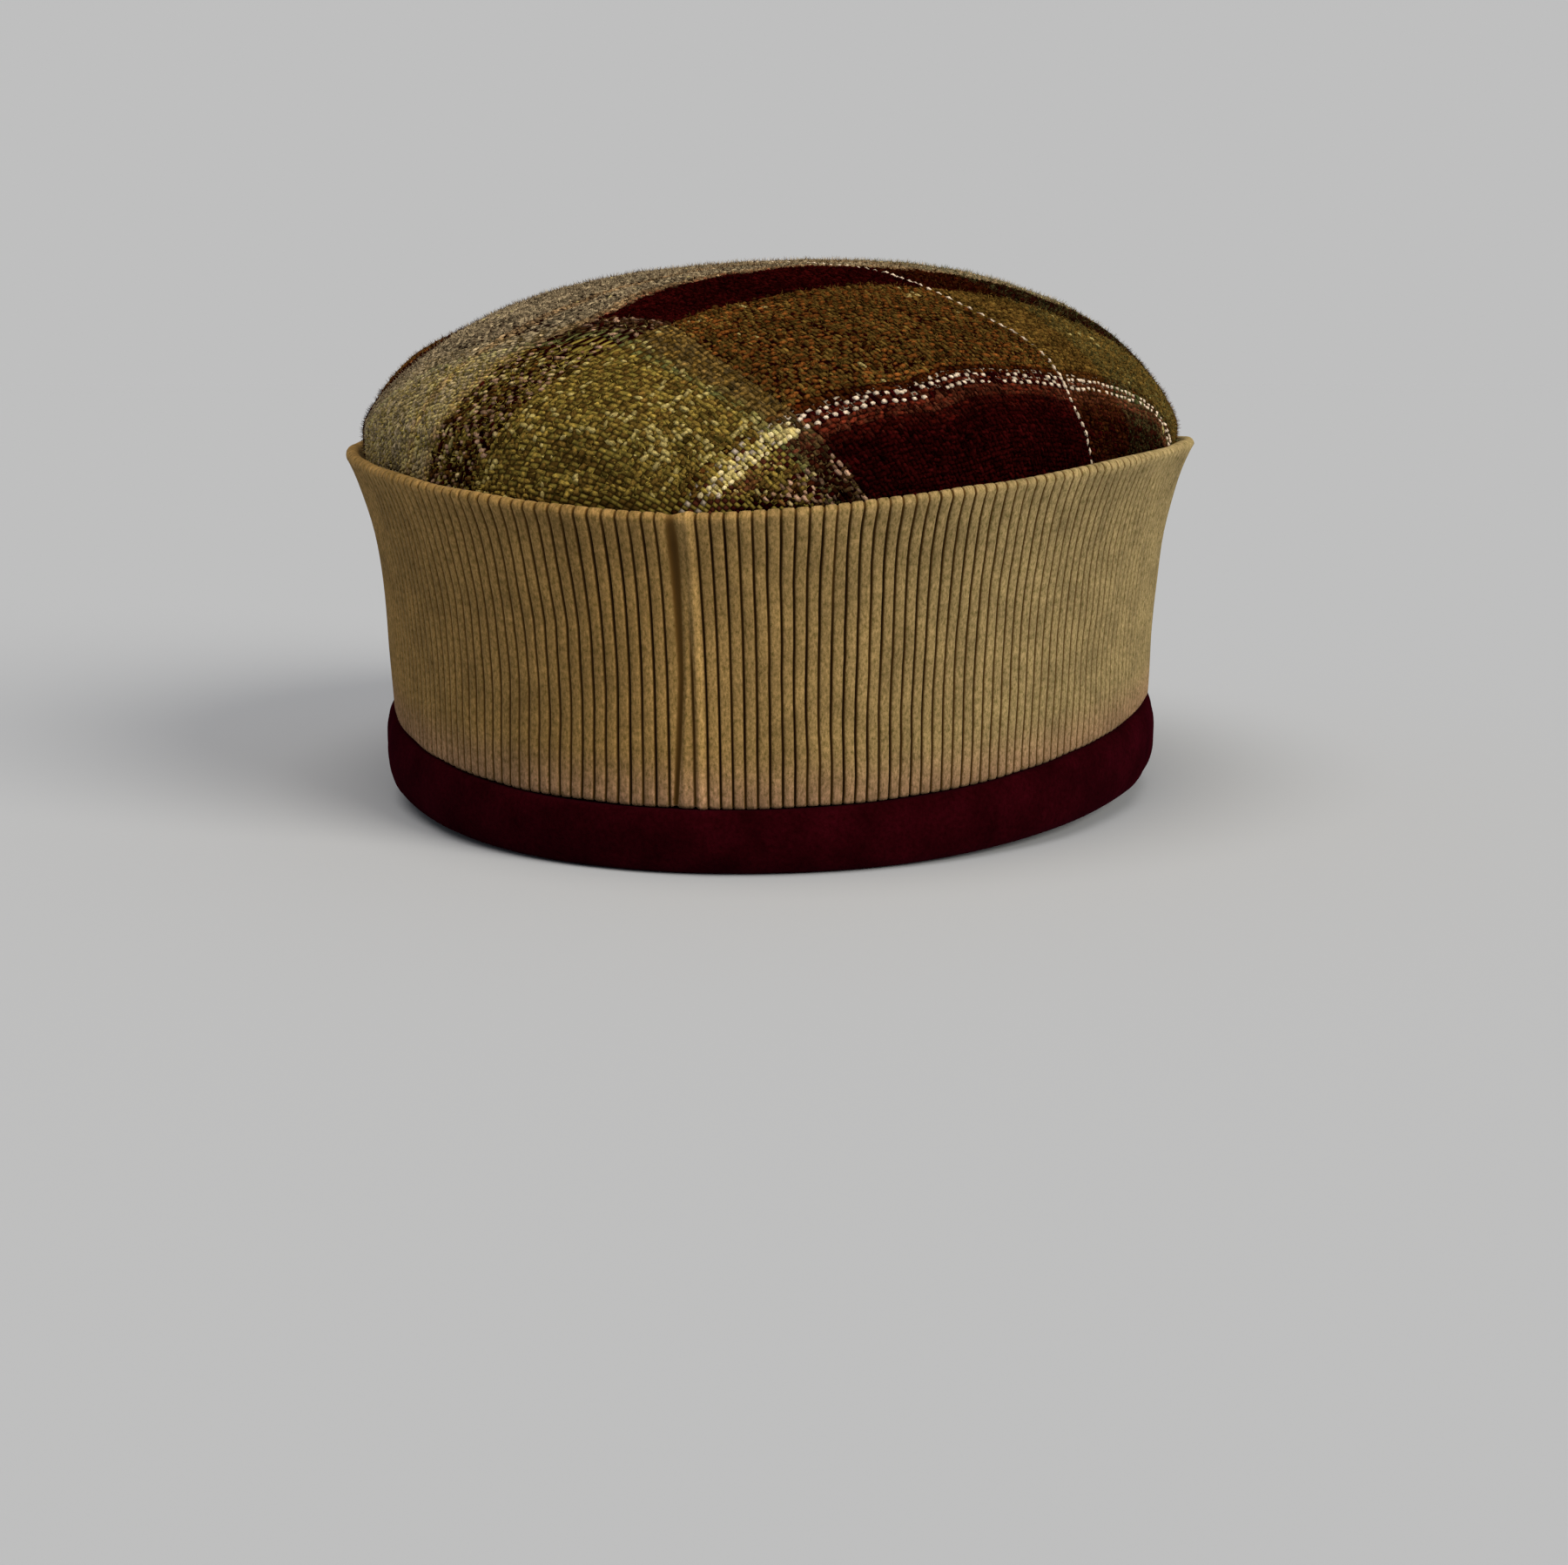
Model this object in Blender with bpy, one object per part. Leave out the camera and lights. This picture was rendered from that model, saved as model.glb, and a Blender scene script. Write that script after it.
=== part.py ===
"""A smoking cap: a domed crown of plaid cloth, a flared corduroy cuff and a rolled fleece headband.

Metres, +Z up. The origin is the middle of the head opening on the surface that the cap rests on.
The wearer's face is towards +Y, so the cuff's seam, at the centre back, is on the -Y side.
"""

import math

import bmesh
import bpy

MM = 0.001

# The head opening, an oval that is a little more pointed than an ellipse
HEAD_WIDTH = 165.6 * MM
HEAD_LENGTH = 202.4 * MM
OVAL_POWER = 1.93

# Cloth thicknesses, and the gap that neighbouring pieces keep
CLEARANCE = 0.3 * MM
CROWN_WALL = 2.0 * MM
CUFF_WALL = 3.0 * MM

# The headband, a padded roll under the edges of the crown and the cuff
HEADBAND_REACH = 8.0 * MM
HEADBAND_HEIGHT = 13.0 * MM
HEADBAND_INSET = 0.8 * MM
HEADBAND_SHOULDER = 0.4 * MM
EAR_LIFT = 4.0 * MM
REST_SHARE = 0.3

# The cuff, lower at the back and front than over the ears
CUFF_HEIGHT = 57.0 * MM
CUFF_FLARE = 8.7 * MM
FOOT_RISE = 8.5 * MM
FOOT_CURVE = 3.0
RIM_RISE = 10.5 * MM
RIM_CURVE = 1.6
RIM_LEAN = 0.006

# Corduroy ribs and the seam at the centre back
WALE_PITCH = 2.7 * MM
WALE_DEPTH = 0.7 * MM
SEAM_PLACE = -2.0 * MM
SEAM_GROOVE_WIDTH = 2.6 * MM
SEAM_GROOVE_DEPTH = 1.0 * MM
SEAM_RIDGE_WIDTH = 6.0 * MM
SEAM_RIDGE_HEIGHT = 0.8 * MM

# The crown, a dome that starts a little above the highest place of the cuff's rim
RIM_GAP = 1.0 * MM
CROWN_SHOULDER = 2.5 * MM
DOME_RISE = 36.6 * MM
DOME_LEAN = 0.044
DOME_EDGE_POWER = 2.8
DOME_SHOULDER_POWER = 1.4

# Mesh fineness
SMOOTH_COLUMNS = 64
COLUMNS_PER_WALE = 2
WALES_PER_INNER_COLUMN = 2
OVAL_STEPS = 1440

# The cuff's and the crown's wall from foot to rim: share of the height, and share of the flare there
WALL_SECTIONS = [
    {"height": 0.00, "flare": 0.00},
    {"height": 0.38, "flare": 0.10},
    {"height": 0.62, "flare": 0.26},
    {"height": 0.82, "flare": 0.60},
    {"height": 1.00, "flare": 1.00},
]

# The crown's rings from its edge to its middle, as shares of its half width
DOME_RINGS = [0.985, 0.94, 0.87, 0.77, 0.64, 0.48, 0.30, 0.13]

# The headband's section from the strip it rests on, up its outer side, over and down its inner side.
# Reach is a share of the headband's reach beyond the head opening, and height one of its height.
HEADBAND_OUTER_SIDE = [
    {"reach": 0.60, "height": 0.00},
    {"reach": 0.83, "height": 0.10},
    {"reach": 0.96, "height": 0.28},
    {"reach": 1.00, "height": 0.50},
    {"reach": 0.97, "height": 0.74},
    {"reach": 0.86, "height": 0.93},
]
HEADBAND_INNER_SIDE = [
    {"reach": 0.00, "height": 0.78},
    {"reach": 0.00, "height": 0.22},
    {"reach": 0.15, "height": 0.00},
]

# Soft dents and swellings of the crown: where round the cap, how far up its dome, how wide, and how deep.
# Width is a share of the crown's half width, and depth a share of its cloth.
CROWN_DENTS = [
    {"angle": 187.0, "out": 0.94, "width": 0.13, "depth": -1.90},
    {"angle": 168.0, "out": 0.84, "width": 0.16, "depth": -0.60},
    {"angle": 205.0, "out": 0.80, "width": 0.12, "depth": 0.45},
    {"angle": 228.0, "out": 0.90, "width": 0.18, "depth": -0.40},
    {"angle": 262.0, "out": 0.93, "width": 0.20, "depth": -0.45},
    {"angle": 305.0, "out": 0.84, "width": 0.17, "depth": 0.50},
    {"angle": 350.0, "out": 0.86, "width": 0.16, "depth": -0.50},
    {"angle": 40.0, "out": 0.86, "width": 0.18, "depth": -0.50},
    {"angle": 95.0, "out": 0.80, "width": 0.20, "depth": 0.40},
    {"angle": 130.0, "out": 0.70, "width": 0.22, "depth": 0.45},
]

BACK_ANGLE = -math.pi / 2


def oval_radius(half_width, half_length, angle):
    """Distance from the middle to the oval in the direction of angle."""
    across = abs(math.cos(angle) / half_width) ** OVAL_POWER
    along = abs(math.sin(angle) / half_length) ** OVAL_POWER
    return (across + along) ** (-1.0 / OVAL_POWER)


def offset_radius(offset, angle):
    """Radius of the oval that lies this far outside the head opening."""
    return oval_radius(HEAD_WIDTH / 2 + offset, HEAD_LENGTH / 2 + offset, angle)


def even_angles(count, offset):
    """Angles, starting at the centre back, that divide the oval into equal lengths, and its whole length."""
    step = 2 * math.pi / OVAL_STEPS
    angles = [BACK_ANGLE + step * i for i in range(OVAL_STEPS + 1)]
    points = [(offset_radius(offset, a), a) for a in angles]
    places = [(r * math.cos(a), r * math.sin(a)) for r, a in points]
    lengths = [0.0]
    for here, there in zip(places, places[1:]):
        lengths.append(lengths[-1] + math.dist(here, there))
    found = []
    at = 0
    for i in range(count):
        wanted = lengths[-1] * i / count
        while lengths[at + 1] < wanted:
            at += 1
        share = (wanted - lengths[at]) / (lengths[at + 1] - lengths[at])
        found.append(angles[at] + step * share)
    return found, lengths[-1]


# Where each face of the stacked cloth lies at the foot, outside the head opening
CROWN_INNER = HEADBAND_INSET
CROWN_OUTER = CROWN_INNER + CROWN_WALL
CUFF_INNER = CROWN_OUTER + CLEARANCE
CUFF_OUTER = CUFF_INNER + CUFF_WALL
CROWN_FLARE = CUFF_FLARE - RIM_GAP
DOME_START = HEADBAND_HEIGHT + CUFF_HEIGHT + RIM_RISE + CROWN_SHOULDER


def side_share(angle):
    """0 at the centre back and front, 1 or -1 over the ears."""
    half_width = HEAD_WIDTH / 2 + CUFF_OUTER
    return offset_radius(CUFF_OUTER, angle) * math.cos(angle) / half_width


def foot_height(angle):
    """The lower edge of the cuff, which lifts sharply over the ears."""
    return HEADBAND_HEIGHT + FOOT_RISE * abs(side_share(angle)) ** FOOT_CURVE


def rim_height(angle):
    """The upper edge of the cuff, which lifts steadily from the back to the ears and leans a little."""
    side = side_share(angle)
    rise = RIM_RISE * abs(side) ** RIM_CURVE
    lean = RIM_LEAN * HEAD_WIDTH / 2 * side
    return HEADBAND_HEIGHT + CUFF_HEIGHT + rise + lean


def underside_height(angle):
    """The headband's underside, which rests at the back and front and lifts over the ears."""
    beyond_rest = max(0.0, abs(side_share(angle)) - REST_SHARE) / (1 - REST_SHARE)
    return EAR_LIFT * beyond_rest**2


def wall_height(share, angle):
    foot = foot_height(angle)
    return foot + (rim_height(angle) - foot) * share


def at_angle(radius, angle, height):
    return (radius * math.cos(angle), radius * math.sin(angle), height)


def cloth_object(name, points, faces, colour, roughness):
    """A named object with its own material, shaded smooth apart from its sharp edges."""
    mesh = bpy.data.meshes.new(name)
    mesh.from_pydata(points, [], faces)
    mesh.shade_smooth()
    mesh.set_sharp_from_angle(angle=math.radians(50))
    material = bpy.data.materials.new(name + "_cloth")
    material.use_nodes = True
    shader = material.node_tree.nodes["Principled BSDF"]
    shader.inputs["Base Color"].default_value = (*colour, 1.0)
    shader.inputs["Roughness"].default_value = roughness
    shader.inputs["Metallic"].default_value = 0.0
    mesh.materials.append(material)
    obj = bpy.data.objects.new(name, mesh)
    bpy.context.scene.collection.objects.link(obj)
    return obj


def ring_faces(rows, columns, first=0):
    """Quads between rows of points that run round the cap, row after row."""
    faces = []
    for row in range(rows - 1):
        low = first + row * columns
        high = low + columns
        for i in range(columns):
            j = (i + 1) % columns
            faces.append((low + i, low + j, high + j, high + i))
    return faces


def closed_section_faces(rows, columns):
    """Faces of a loop whose section is a closed line of rows points."""
    faces = ring_faces(rows, columns)
    last = (rows - 1) * columns
    for i in range(columns):
        j = (i + 1) % columns
        faces.append((last + i, last + j, j, i))
    return faces


def dent_at(angle, out):
    """How far the crown is pushed in at a place, out being its share of the half width."""
    pushed = 0.0
    for dent in CROWN_DENTS:
        turn = math.remainder(angle - math.radians(dent["angle"]), 2 * math.pi)
        gap = math.hypot(turn * dent["out"], out - dent["out"]) / dent["width"]
        pushed += dent["depth"] * CROWN_WALL * math.exp(-gap * gap)
    return pushed


def dome_height(angle, out):
    """Height of the dome where its plan radius is the share out of its edge."""
    edge = offset_radius(CROWN_OUTER + CROWN_FLARE, angle)
    rise = (1 - out**DOME_EDGE_POWER) ** (1 / DOME_SHOULDER_POWER)
    lean = DOME_LEAN * edge * out * math.cos(angle) * (1 - out * out)
    return DOME_START + DOME_RISE * rise + lean


def make_crown():
    """The wall inside the cuff and the dome over it, as one cloth: a sheet that Solidify gives its thickness."""
    angles, _ = even_angles(SMOOTH_COLUMNS, CROWN_OUTER)
    points = []
    for section in WALL_SECTIONS:
        offset = CROWN_OUTER + CROWN_FLARE * section["flare"]
        for a in angles:
            points.append(at_angle(offset_radius(offset, a), a, wall_height(section["height"], a)))
    edge_offset = CROWN_OUTER + CROWN_FLARE
    for out in [1.0] + DOME_RINGS:
        for a in angles:
            radius = offset_radius(edge_offset, a) * out
            points.append(at_angle(radius, a, dome_height(a, out) - dent_at(a, out)))
    rows = len(WALL_SECTIONS) + 1 + len(DOME_RINGS)
    faces = ring_faces(rows, SMOOTH_COLUMNS)
    top = len(points)
    points.append((0.0, 0.0, DOME_START + DOME_RISE))
    last = (rows - 1) * SMOOTH_COLUMNS
    for i in range(SMOOTH_COLUMNS):
        faces.append((last + i, last + (i + 1) % SMOOTH_COLUMNS, top))
    crown = cloth_object("crown", points, faces, (0.16, 0.10, 0.03), 0.9)
    thickness = crown.modifiers.new("cloth_thickness", "SOLIDIFY")
    thickness.thickness = CROWN_WALL
    thickness.offset = -1.0
    thickness.use_even_offset = True
    return crown


def seam_relief(distance):
    """Height of the seam's relief at this distance to the right of the centre back."""
    from_groove = distance - SEAM_PLACE
    groove = SEAM_GROOVE_DEPTH * math.exp(-((2 * from_groove / SEAM_GROOVE_WIDTH) ** 2))
    from_ridge = from_groove - (SEAM_GROOVE_WIDTH + SEAM_RIDGE_WIDTH) / 2
    ridge = SEAM_RIDGE_HEIGHT * math.exp(-((2 * from_ridge / SEAM_RIDGE_WIDTH) ** 4))
    return ridge - groove


def make_cuff():
    """A loop of doubled corduroy, folded over at its rim, with ribs on its outer side."""
    _, length = even_angles(1, CUFF_OUTER)
    inner_count = round(length / WALE_PITCH / WALES_PER_INNER_COLUMN)
    per_inner = COLUMNS_PER_WALE * WALES_PER_INNER_COLUMN
    outer_count = inner_count * per_inner
    outer_angles, _ = even_angles(outer_count, CUFF_OUTER)
    inner_angles = outer_angles[::per_inner]
    fold = CUFF_WALL / 2
    points = []
    for section in WALL_SECTIONS:
        lower = 0.0 if section["height"] < 1 else fold
        for i, a in enumerate(outer_angles):
            place = length * i / outer_count
            distance = place if place < length / 2 else place - length
            rib = -WALE_DEPTH if i % COLUMNS_PER_WALE == 0 else 0.0
            offset = CUFF_OUTER + CUFF_FLARE * section["flare"] + rib + seam_relief(distance)
            height = wall_height(section["height"], a) - lower
            points.append(at_angle(offset_radius(offset, a), a, height))
    outer_rows = len(WALL_SECTIONS)
    faces = ring_faces(outer_rows, outer_count)
    crest = len(points)
    for a in inner_angles:
        radius = offset_radius(CUFF_INNER + CUFF_FLARE + fold, a)
        points.append(at_angle(radius, a, rim_height(a)))
    inner = len(points)
    for section in reversed(WALL_SECTIONS):
        lower = 0.0 if section["height"] < 1 else fold
        for a in inner_angles:
            radius = offset_radius(CUFF_INNER + CUFF_FLARE * section["flare"], a)
            points.append(at_angle(radius, a, wall_height(section["height"], a) - lower))
    faces += ring_faces(1 + len(WALL_SECTIONS), inner_count, crest)
    last_outer = (outer_rows - 1) * outer_count
    last_inner = inner + (len(WALL_SECTIONS) - 1) * inner_count
    faces += stepped_faces(last_outer, outer_count, crest, inner_count)
    faces += [face[::-1] for face in stepped_faces(0, outer_count, last_inner, inner_count)]
    return cloth_object("cuff", points, faces, (0.20, 0.14, 0.05), 0.8)


def stepped_faces(fine, fine_count, coarse, coarse_count):
    """Triangles from a ring of many points to one of fewer, each coarse step facing as many fine ones."""
    per_step = fine_count // coarse_count
    faces = []
    for step in range(coarse_count):
        here = coarse + step
        there = coarse + (step + 1) % coarse_count
        for k in range(per_step):
            i = step * per_step + k
            j = (i + 1) % fine_count
            nearest = here if k < per_step / 2 else there
            faces.append((fine + i, fine + j, nearest))
            if k == per_step // 2 - 1:
                faces.append((fine + j, there, here))
    return faces


def make_headband():
    """A padded roll with a flat strip underneath and a shoulder that carries the two cloths above it."""
    angles, _ = even_angles(SMOOTH_COLUMNS, HEADBAND_REACH)
    section = [(HEADBAND_REACH * row["reach"], row["height"], 0.0) for row in HEADBAND_OUTER_SIDE]
    section += [(CUFF_OUTER - HEADBAND_SHOULDER, 1.0, CLEARANCE)]
    section += [(CROWN_INNER + HEADBAND_SHOULDER, 1.0, CLEARANCE)]
    section += [(HEADBAND_REACH * row["reach"], row["height"], 0.0) for row in HEADBAND_INNER_SIDE]
    points = []
    for reach, share, gap in section:
        for a in angles:
            low = underside_height(a)
            height = low + (foot_height(a) - low) * share - gap
            points.append(at_angle(offset_radius(reach, a), a, height))
    faces = closed_section_faces(len(section), SMOOTH_COLUMNS)
    return cloth_object("headband", points, faces, (0.035, 0.003, 0.006), 0.95)


def clear_scene():
    for obj in list(bpy.data.objects):
        bpy.data.objects.remove(obj)


def point_faces_outwards(obj):
    loose = bmesh.new()
    loose.from_mesh(obj.data)
    bmesh.ops.recalc_face_normals(loose, faces=loose.faces)
    loose.to_mesh(obj.data)
    loose.free()


def main():
    clear_scene()
    make_crown()
    for loop in (make_cuff(), make_headband()):
        point_faces_outwards(loop)


main()
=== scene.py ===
import math
from functools import partial

import bpy
import numpy as np
from bpy.props import FloatProperty, IntProperty, PointerProperty, StringProperty
from mathutils import Matrix, Vector, noise


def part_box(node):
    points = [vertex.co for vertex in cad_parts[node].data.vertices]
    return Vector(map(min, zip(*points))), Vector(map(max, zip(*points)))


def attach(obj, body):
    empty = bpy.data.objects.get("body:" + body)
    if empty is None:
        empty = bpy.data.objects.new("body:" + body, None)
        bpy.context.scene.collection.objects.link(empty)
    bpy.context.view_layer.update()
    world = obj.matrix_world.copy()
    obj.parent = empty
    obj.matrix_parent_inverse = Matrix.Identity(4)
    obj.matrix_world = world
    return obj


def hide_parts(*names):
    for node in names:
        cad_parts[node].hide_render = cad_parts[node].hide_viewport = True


bl_info = {
    "name": "Smoking Cap",
    "version": (1, 0, 0),
    "blender": (4, 5, 0),
    "location": "3D View > Sidebar > Cap",
    "description": "Dresses the packed smoking cap with plaid, corduroy and fleece",
    "category": "Add Mesh",
}

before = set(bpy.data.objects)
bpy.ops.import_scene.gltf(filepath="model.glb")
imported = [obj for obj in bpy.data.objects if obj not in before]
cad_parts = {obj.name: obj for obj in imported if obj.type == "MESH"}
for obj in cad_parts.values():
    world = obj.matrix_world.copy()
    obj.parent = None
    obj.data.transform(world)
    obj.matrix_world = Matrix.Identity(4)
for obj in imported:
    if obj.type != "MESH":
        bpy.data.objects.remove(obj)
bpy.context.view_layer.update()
MM = 0.001
BACK_ANGLE = -math.pi / 2
FULL_TURN = 2 * math.pi

# The headband's box in the frame gives the size of the head opening
BAND_LOW, BAND_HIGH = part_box("headband")
BAND_REACH = 8.0 * MM
PHOTO_WIDTH = 1801

# Plaid stripes of each yarn family, by the number of the yarn that each one starts with, counted from the
# middle of the crown, and the yarn that it is woven in. Yarns lie about 1 mm apart.
HALF_YARNS = 150
RISING_STRIPES = [
    (-150, "maroon"), (-105, "dusk"), (-102, "fleck"), (-99, "cream"), (-98, "fleck"), (-97, "cream"),
    (-96, "brown"), (-94, "olive"), (-67, "maroon"), (-51, "sand"), (-48, "sage"), (-40, "sand"),
    (-37, "sage"), (8, "maroon"), (27, "olive"), (53, "cream"), (54, "fleck"), (55, "cream"),
    (56, "fleck"), (58, "dusk"), (61, "maroon"), (108, "olive"),
]
FALLING_STRIPES = [
    (-150, "leaf"), (-96, "cream"), (-95, "maroon"), (-38, "brown"), (-35, "moss"), (10, "brown"),
    (28, "cream"), (29, "maroon"), (90, "tan"), (95, "pale"), (97, "leaf"),
]
STRIPE_SPAN = 2.0 * HALF_YARNS

# The rising lines turn steeper towards the back of the crown, and the falling ones a little flatter
RISING_TURN = {"far": -50.0, "far_angle": 33.5, "near": -97.0, "near_angle": 46.0}
FALLING_TURN = {"far": 28.6, "far_angle": 153.0, "near": 96.0, "near_angle": 150.5}

# Where sewing pulled the stripes off their lines: the place across the falling and the rising yarns, how far
# the pull reaches across each, and by how many yarns it shifts the family
RISING_PULLS = [
    (67, -102, 9, 22, 3.0), (48, -102, 16, 22, 1.6), (27, -102, 14, 22, 2.6), (80, -100, 8, 14, 0.9),
    (-10, -100, 10, 22, -2.6), (110, -100, 12, 12, -1.0), (126, -62, 12, 16, -5.5),
    (108, -68, 10, 10, -2.5), (84, -50, 11, 9, 4.5), (40, -52, 12, 14, -2.5),
]
FALLING_PULLS = [
    (28, -91, 20, 9, 3.0), (28, -110, 20, 8, -1.8), (28, -68, 20, 8, -1.2), (86, -62, 9, 14, 8.0),
]

# Soft dents and swellings of the crown, as in the solid part: degrees round the cap, how far out on its
# dome, how wide as a share of its half width, and how deep as a share of its cloth
CROWN_DENTS = [
    (187.0, 0.94, 0.13, -1.90), (168.0, 0.84, 0.16, -0.60), (205.0, 0.80, 0.12, 0.45),
    (228.0, 0.90, 0.18, -0.40), (262.0, 0.93, 0.20, -0.45), (305.0, 0.84, 0.17, 0.50),
    (350.0, 0.86, 0.16, -0.50), (40.0, 0.86, 0.18, -0.50), (95.0, 0.80, 0.20, 0.40),
    (130.0, 0.70, 0.22, 0.45),
]

# The headband's section from the strip it rests on, up its outer side and down its inner side, as shares of
# its reach and of its height
BAND_OUTER_SIDE = [
    (0.60, 0.00), (0.83, 0.10), (0.96, 0.28), (1.00, 0.50), (0.97, 0.74), (0.86, 0.93),
]
BAND_INNER_SIDE = [
    (0.00, 0.78), (0.00, 0.22), (0.15, 0.00),
]

# The dent beside the cuff's seam, at its foot, below its middle and at its rim: place, half width and depth
SEAM_DENT = [(-5.0, -3.5, -3.3), (0.5, 0.75, 1.35), (0.85, 0.7, 0.8)]

# Distant soft lights: where each one stands round the cap and above the floor, how wide its disc looks
# in degrees, how strong it is and its colour
LIGHTS = [
    {"name": "key_light", "turn": 58.0, "rise": 28.0, "wide": 32.0, "strength": 2.50, "colour": "#fff5e2"},
    {"name": "top_light", "turn": -15.0, "rise": 70.0, "wide": 55.0, "strength": 1.60, "colour": "#fff3e2"},
]


def sized(name, default_mm, description):
    """A length property, shown in the scene's units."""
    default = default_mm * MM
    return FloatProperty(name=name, description=description, default=default, unit="LENGTH", precision=5)


def number(name, default, description):
    """A property that is a plain number."""
    return FloatProperty(name=name, description=description, default=default)


def hexed(name, default, description):
    """A colour property, kept as the sRGB hex value of the real cloth."""
    return StringProperty(name=name, description=description, default=default)


class CapSizes(bpy.types.PropertyGroup):
    """The sizes that the cap's cloth follows."""

    head_width: FloatProperty(
        name="Head Width",
        description="Width of the head opening",
        default=BAND_HIGH.x - BAND_LOW.x - 2 * BAND_REACH,
        unit="LENGTH",
        precision=5,
    )
    head_length: FloatProperty(
        name="Head Length",
        description="Length of the head opening, from the forehead to the back of the head",
        default=BAND_HIGH.y - BAND_LOW.y - 2 * BAND_REACH,
        unit="LENGTH",
        precision=5,
    )
    oval_power: number("Oval Power", 1.93, "2 is an ellipse, less is more pointed")
    clearance: sized("Clearance", 0.3, "Gap between neighbouring pieces")
    crown_wall: sized("Crown Wall", 2.0, "Thickness of the plaid cloth with its backing")
    cuff_wall: sized("Cuff Wall", 3.0, "Thickness of the doubled corduroy")
    band_reach: sized("Band Reach", 8.0, "How far the headband bulges out of the head opening")
    band_height: sized("Band Height", 13.0, "Height of the headband at the centre back")
    band_inset: sized("Band Inset", 0.8, "How far the crown's cloth stands back from the head opening")
    band_shoulder: sized("Band Shoulder", 0.4, "How far the headband's top stops short of the cloth over it")
    ear_lift: sized("Ear Lift", 4.0, "How far the headband's underside lifts over the ears")
    rest_share: number("Rest Share", 0.3, "Share of the half width that rests")
    cuff_height: sized("Cuff Height", 57.0, "Height of the cuff at the centre back")
    cuff_flare: sized("Cuff Flare", 8.7, "How far the cuff leans out from foot to rim")
    foot_rise: sized("Foot Rise", 8.5, "How far the cuff's foot lifts over the ears")
    rim_rise: sized("Rim Rise", 10.5, "How far the cuff's rim lifts over the ears")
    rim_lean: number("Rim Lean", 0.006, "Slope of the rim from left to right")
    seam_place: sized("Seam Place", 1.95, "How far right of the centre back the foot of the seam's ridge is")
    rim_gap: sized("Rim Gap", 1.0, "Extra gap between the crown and the cuff's rim")
    crown_shoulder: sized("Crown Shoulder", 2.5, "Height of the dome's start over the rim's highest place")
    dome_rise: sized("Dome Rise", 36.6, "Height of the dome over its start")
    dome_lean: number("Dome Lean", 0.044, "Slope of the dome from left to right")
    crown_grid: IntProperty(name="Crown Grid", description="Cells across the crown's cloth", default=120)


class CapLooks(bpy.types.PropertyGroup):
    """The cloths' yarns, colours and textures."""

    yarn_pitch: sized("Yarn Pitch", 1.0, "Spacing of the plaid cloth's yarns")
    fibre_length: sized("Fibre Length", 1.0, "Length of the fibres that stand out of the chenille")
    fibre_thickness: sized("Fibre Thickness", 0.065, "Half thickness of a fibre, coarse enough to show")
    fuzz_count: IntProperty(name="Fuzz Count", description="Fibres strewn over the crown", default=62000)
    wale_pitch: sized("Wale Pitch", 2.38, "Spacing of the corduroy's ribs")
    wale_depth: sized("Wale Depth", 0.85, "Depth of the grooves between the corduroy's ribs")
    maroon: hexed("Maroon Yarn", "#250404", "Dark maroon chenille yarn")
    fleck: hexed("Flecked Yarn", "#5a3020", "Maroon yarn with tan flecks")
    dusk: hexed("Dusky Yarn", "#330f0a", "Maroon yarn with a few brown flecks")
    brown: hexed("Brown Yarn", "#46290f", "Brown yarn between the maroon and the olive")
    olive: hexed("Olive Yarn", "#675024", "Brown-olive chenille yarn")
    moss: hexed("Moss Yarn", "#474a2c", "Green chenille yarn")
    leaf: hexed("Leaf Yarn", "#a18e43", "Light olive yarn")
    pale: hexed("Pale Yarn", "#83854e", "Pale green yarn")
    sand: hexed("Sand Yarn", "#927a5a", "Sand-coloured yarn")
    tan: hexed("Tan Yarn", "#6e5b38", "Tan yarn beside the light olive")
    tip: hexed("Light Pile", "#ab8b75", "Tips of the light yarns where they come up over the maroon")
    sage: hexed("Sage Yarn", "#94866c", "Grey-green yarn")
    cream: hexed("Cream Yarn", "#d3c2ae", "Thick cream yarn")
    slub: hexed("Slub", "#c4b77a", "Light cotton that shows here and there through the pile")
    pile: hexed("Corduroy Pile", "#80673a", "Crests of the corduroy's ribs")
    # Painted highlight: the crests on the cap's right side, painted lighter where the key light falls
    lit_side_pile: hexed("Faded Pile", "#887a53", "Crests of the corduroy's ribs on the side that has faded")
    # Painted shade on the sides of the ribs
    flank_shade: hexed("Corduroy Flank", "#573e1a", "Sides of the corduroy's ribs")
    # The darker ground cloth between the ribs, deepened by painted shade in the grooves
    groove: hexed("Corduroy Groove", "#221206", "Ground cloth between the ribs")
    # Painted reflection: a pinkish tint from the fleece along the cuff's lower edge
    foot_reflection: hexed("Corduroy Foot", "#84674f", "Pinkish pile along the cuff's lower edge")
    fleece: hexed("Fleece", "#140102", "Dark maroon fleece")
    fleece_light: hexed("Fleece Highlight", "#2f040b", "Tips of the fleece's pile")


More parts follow.
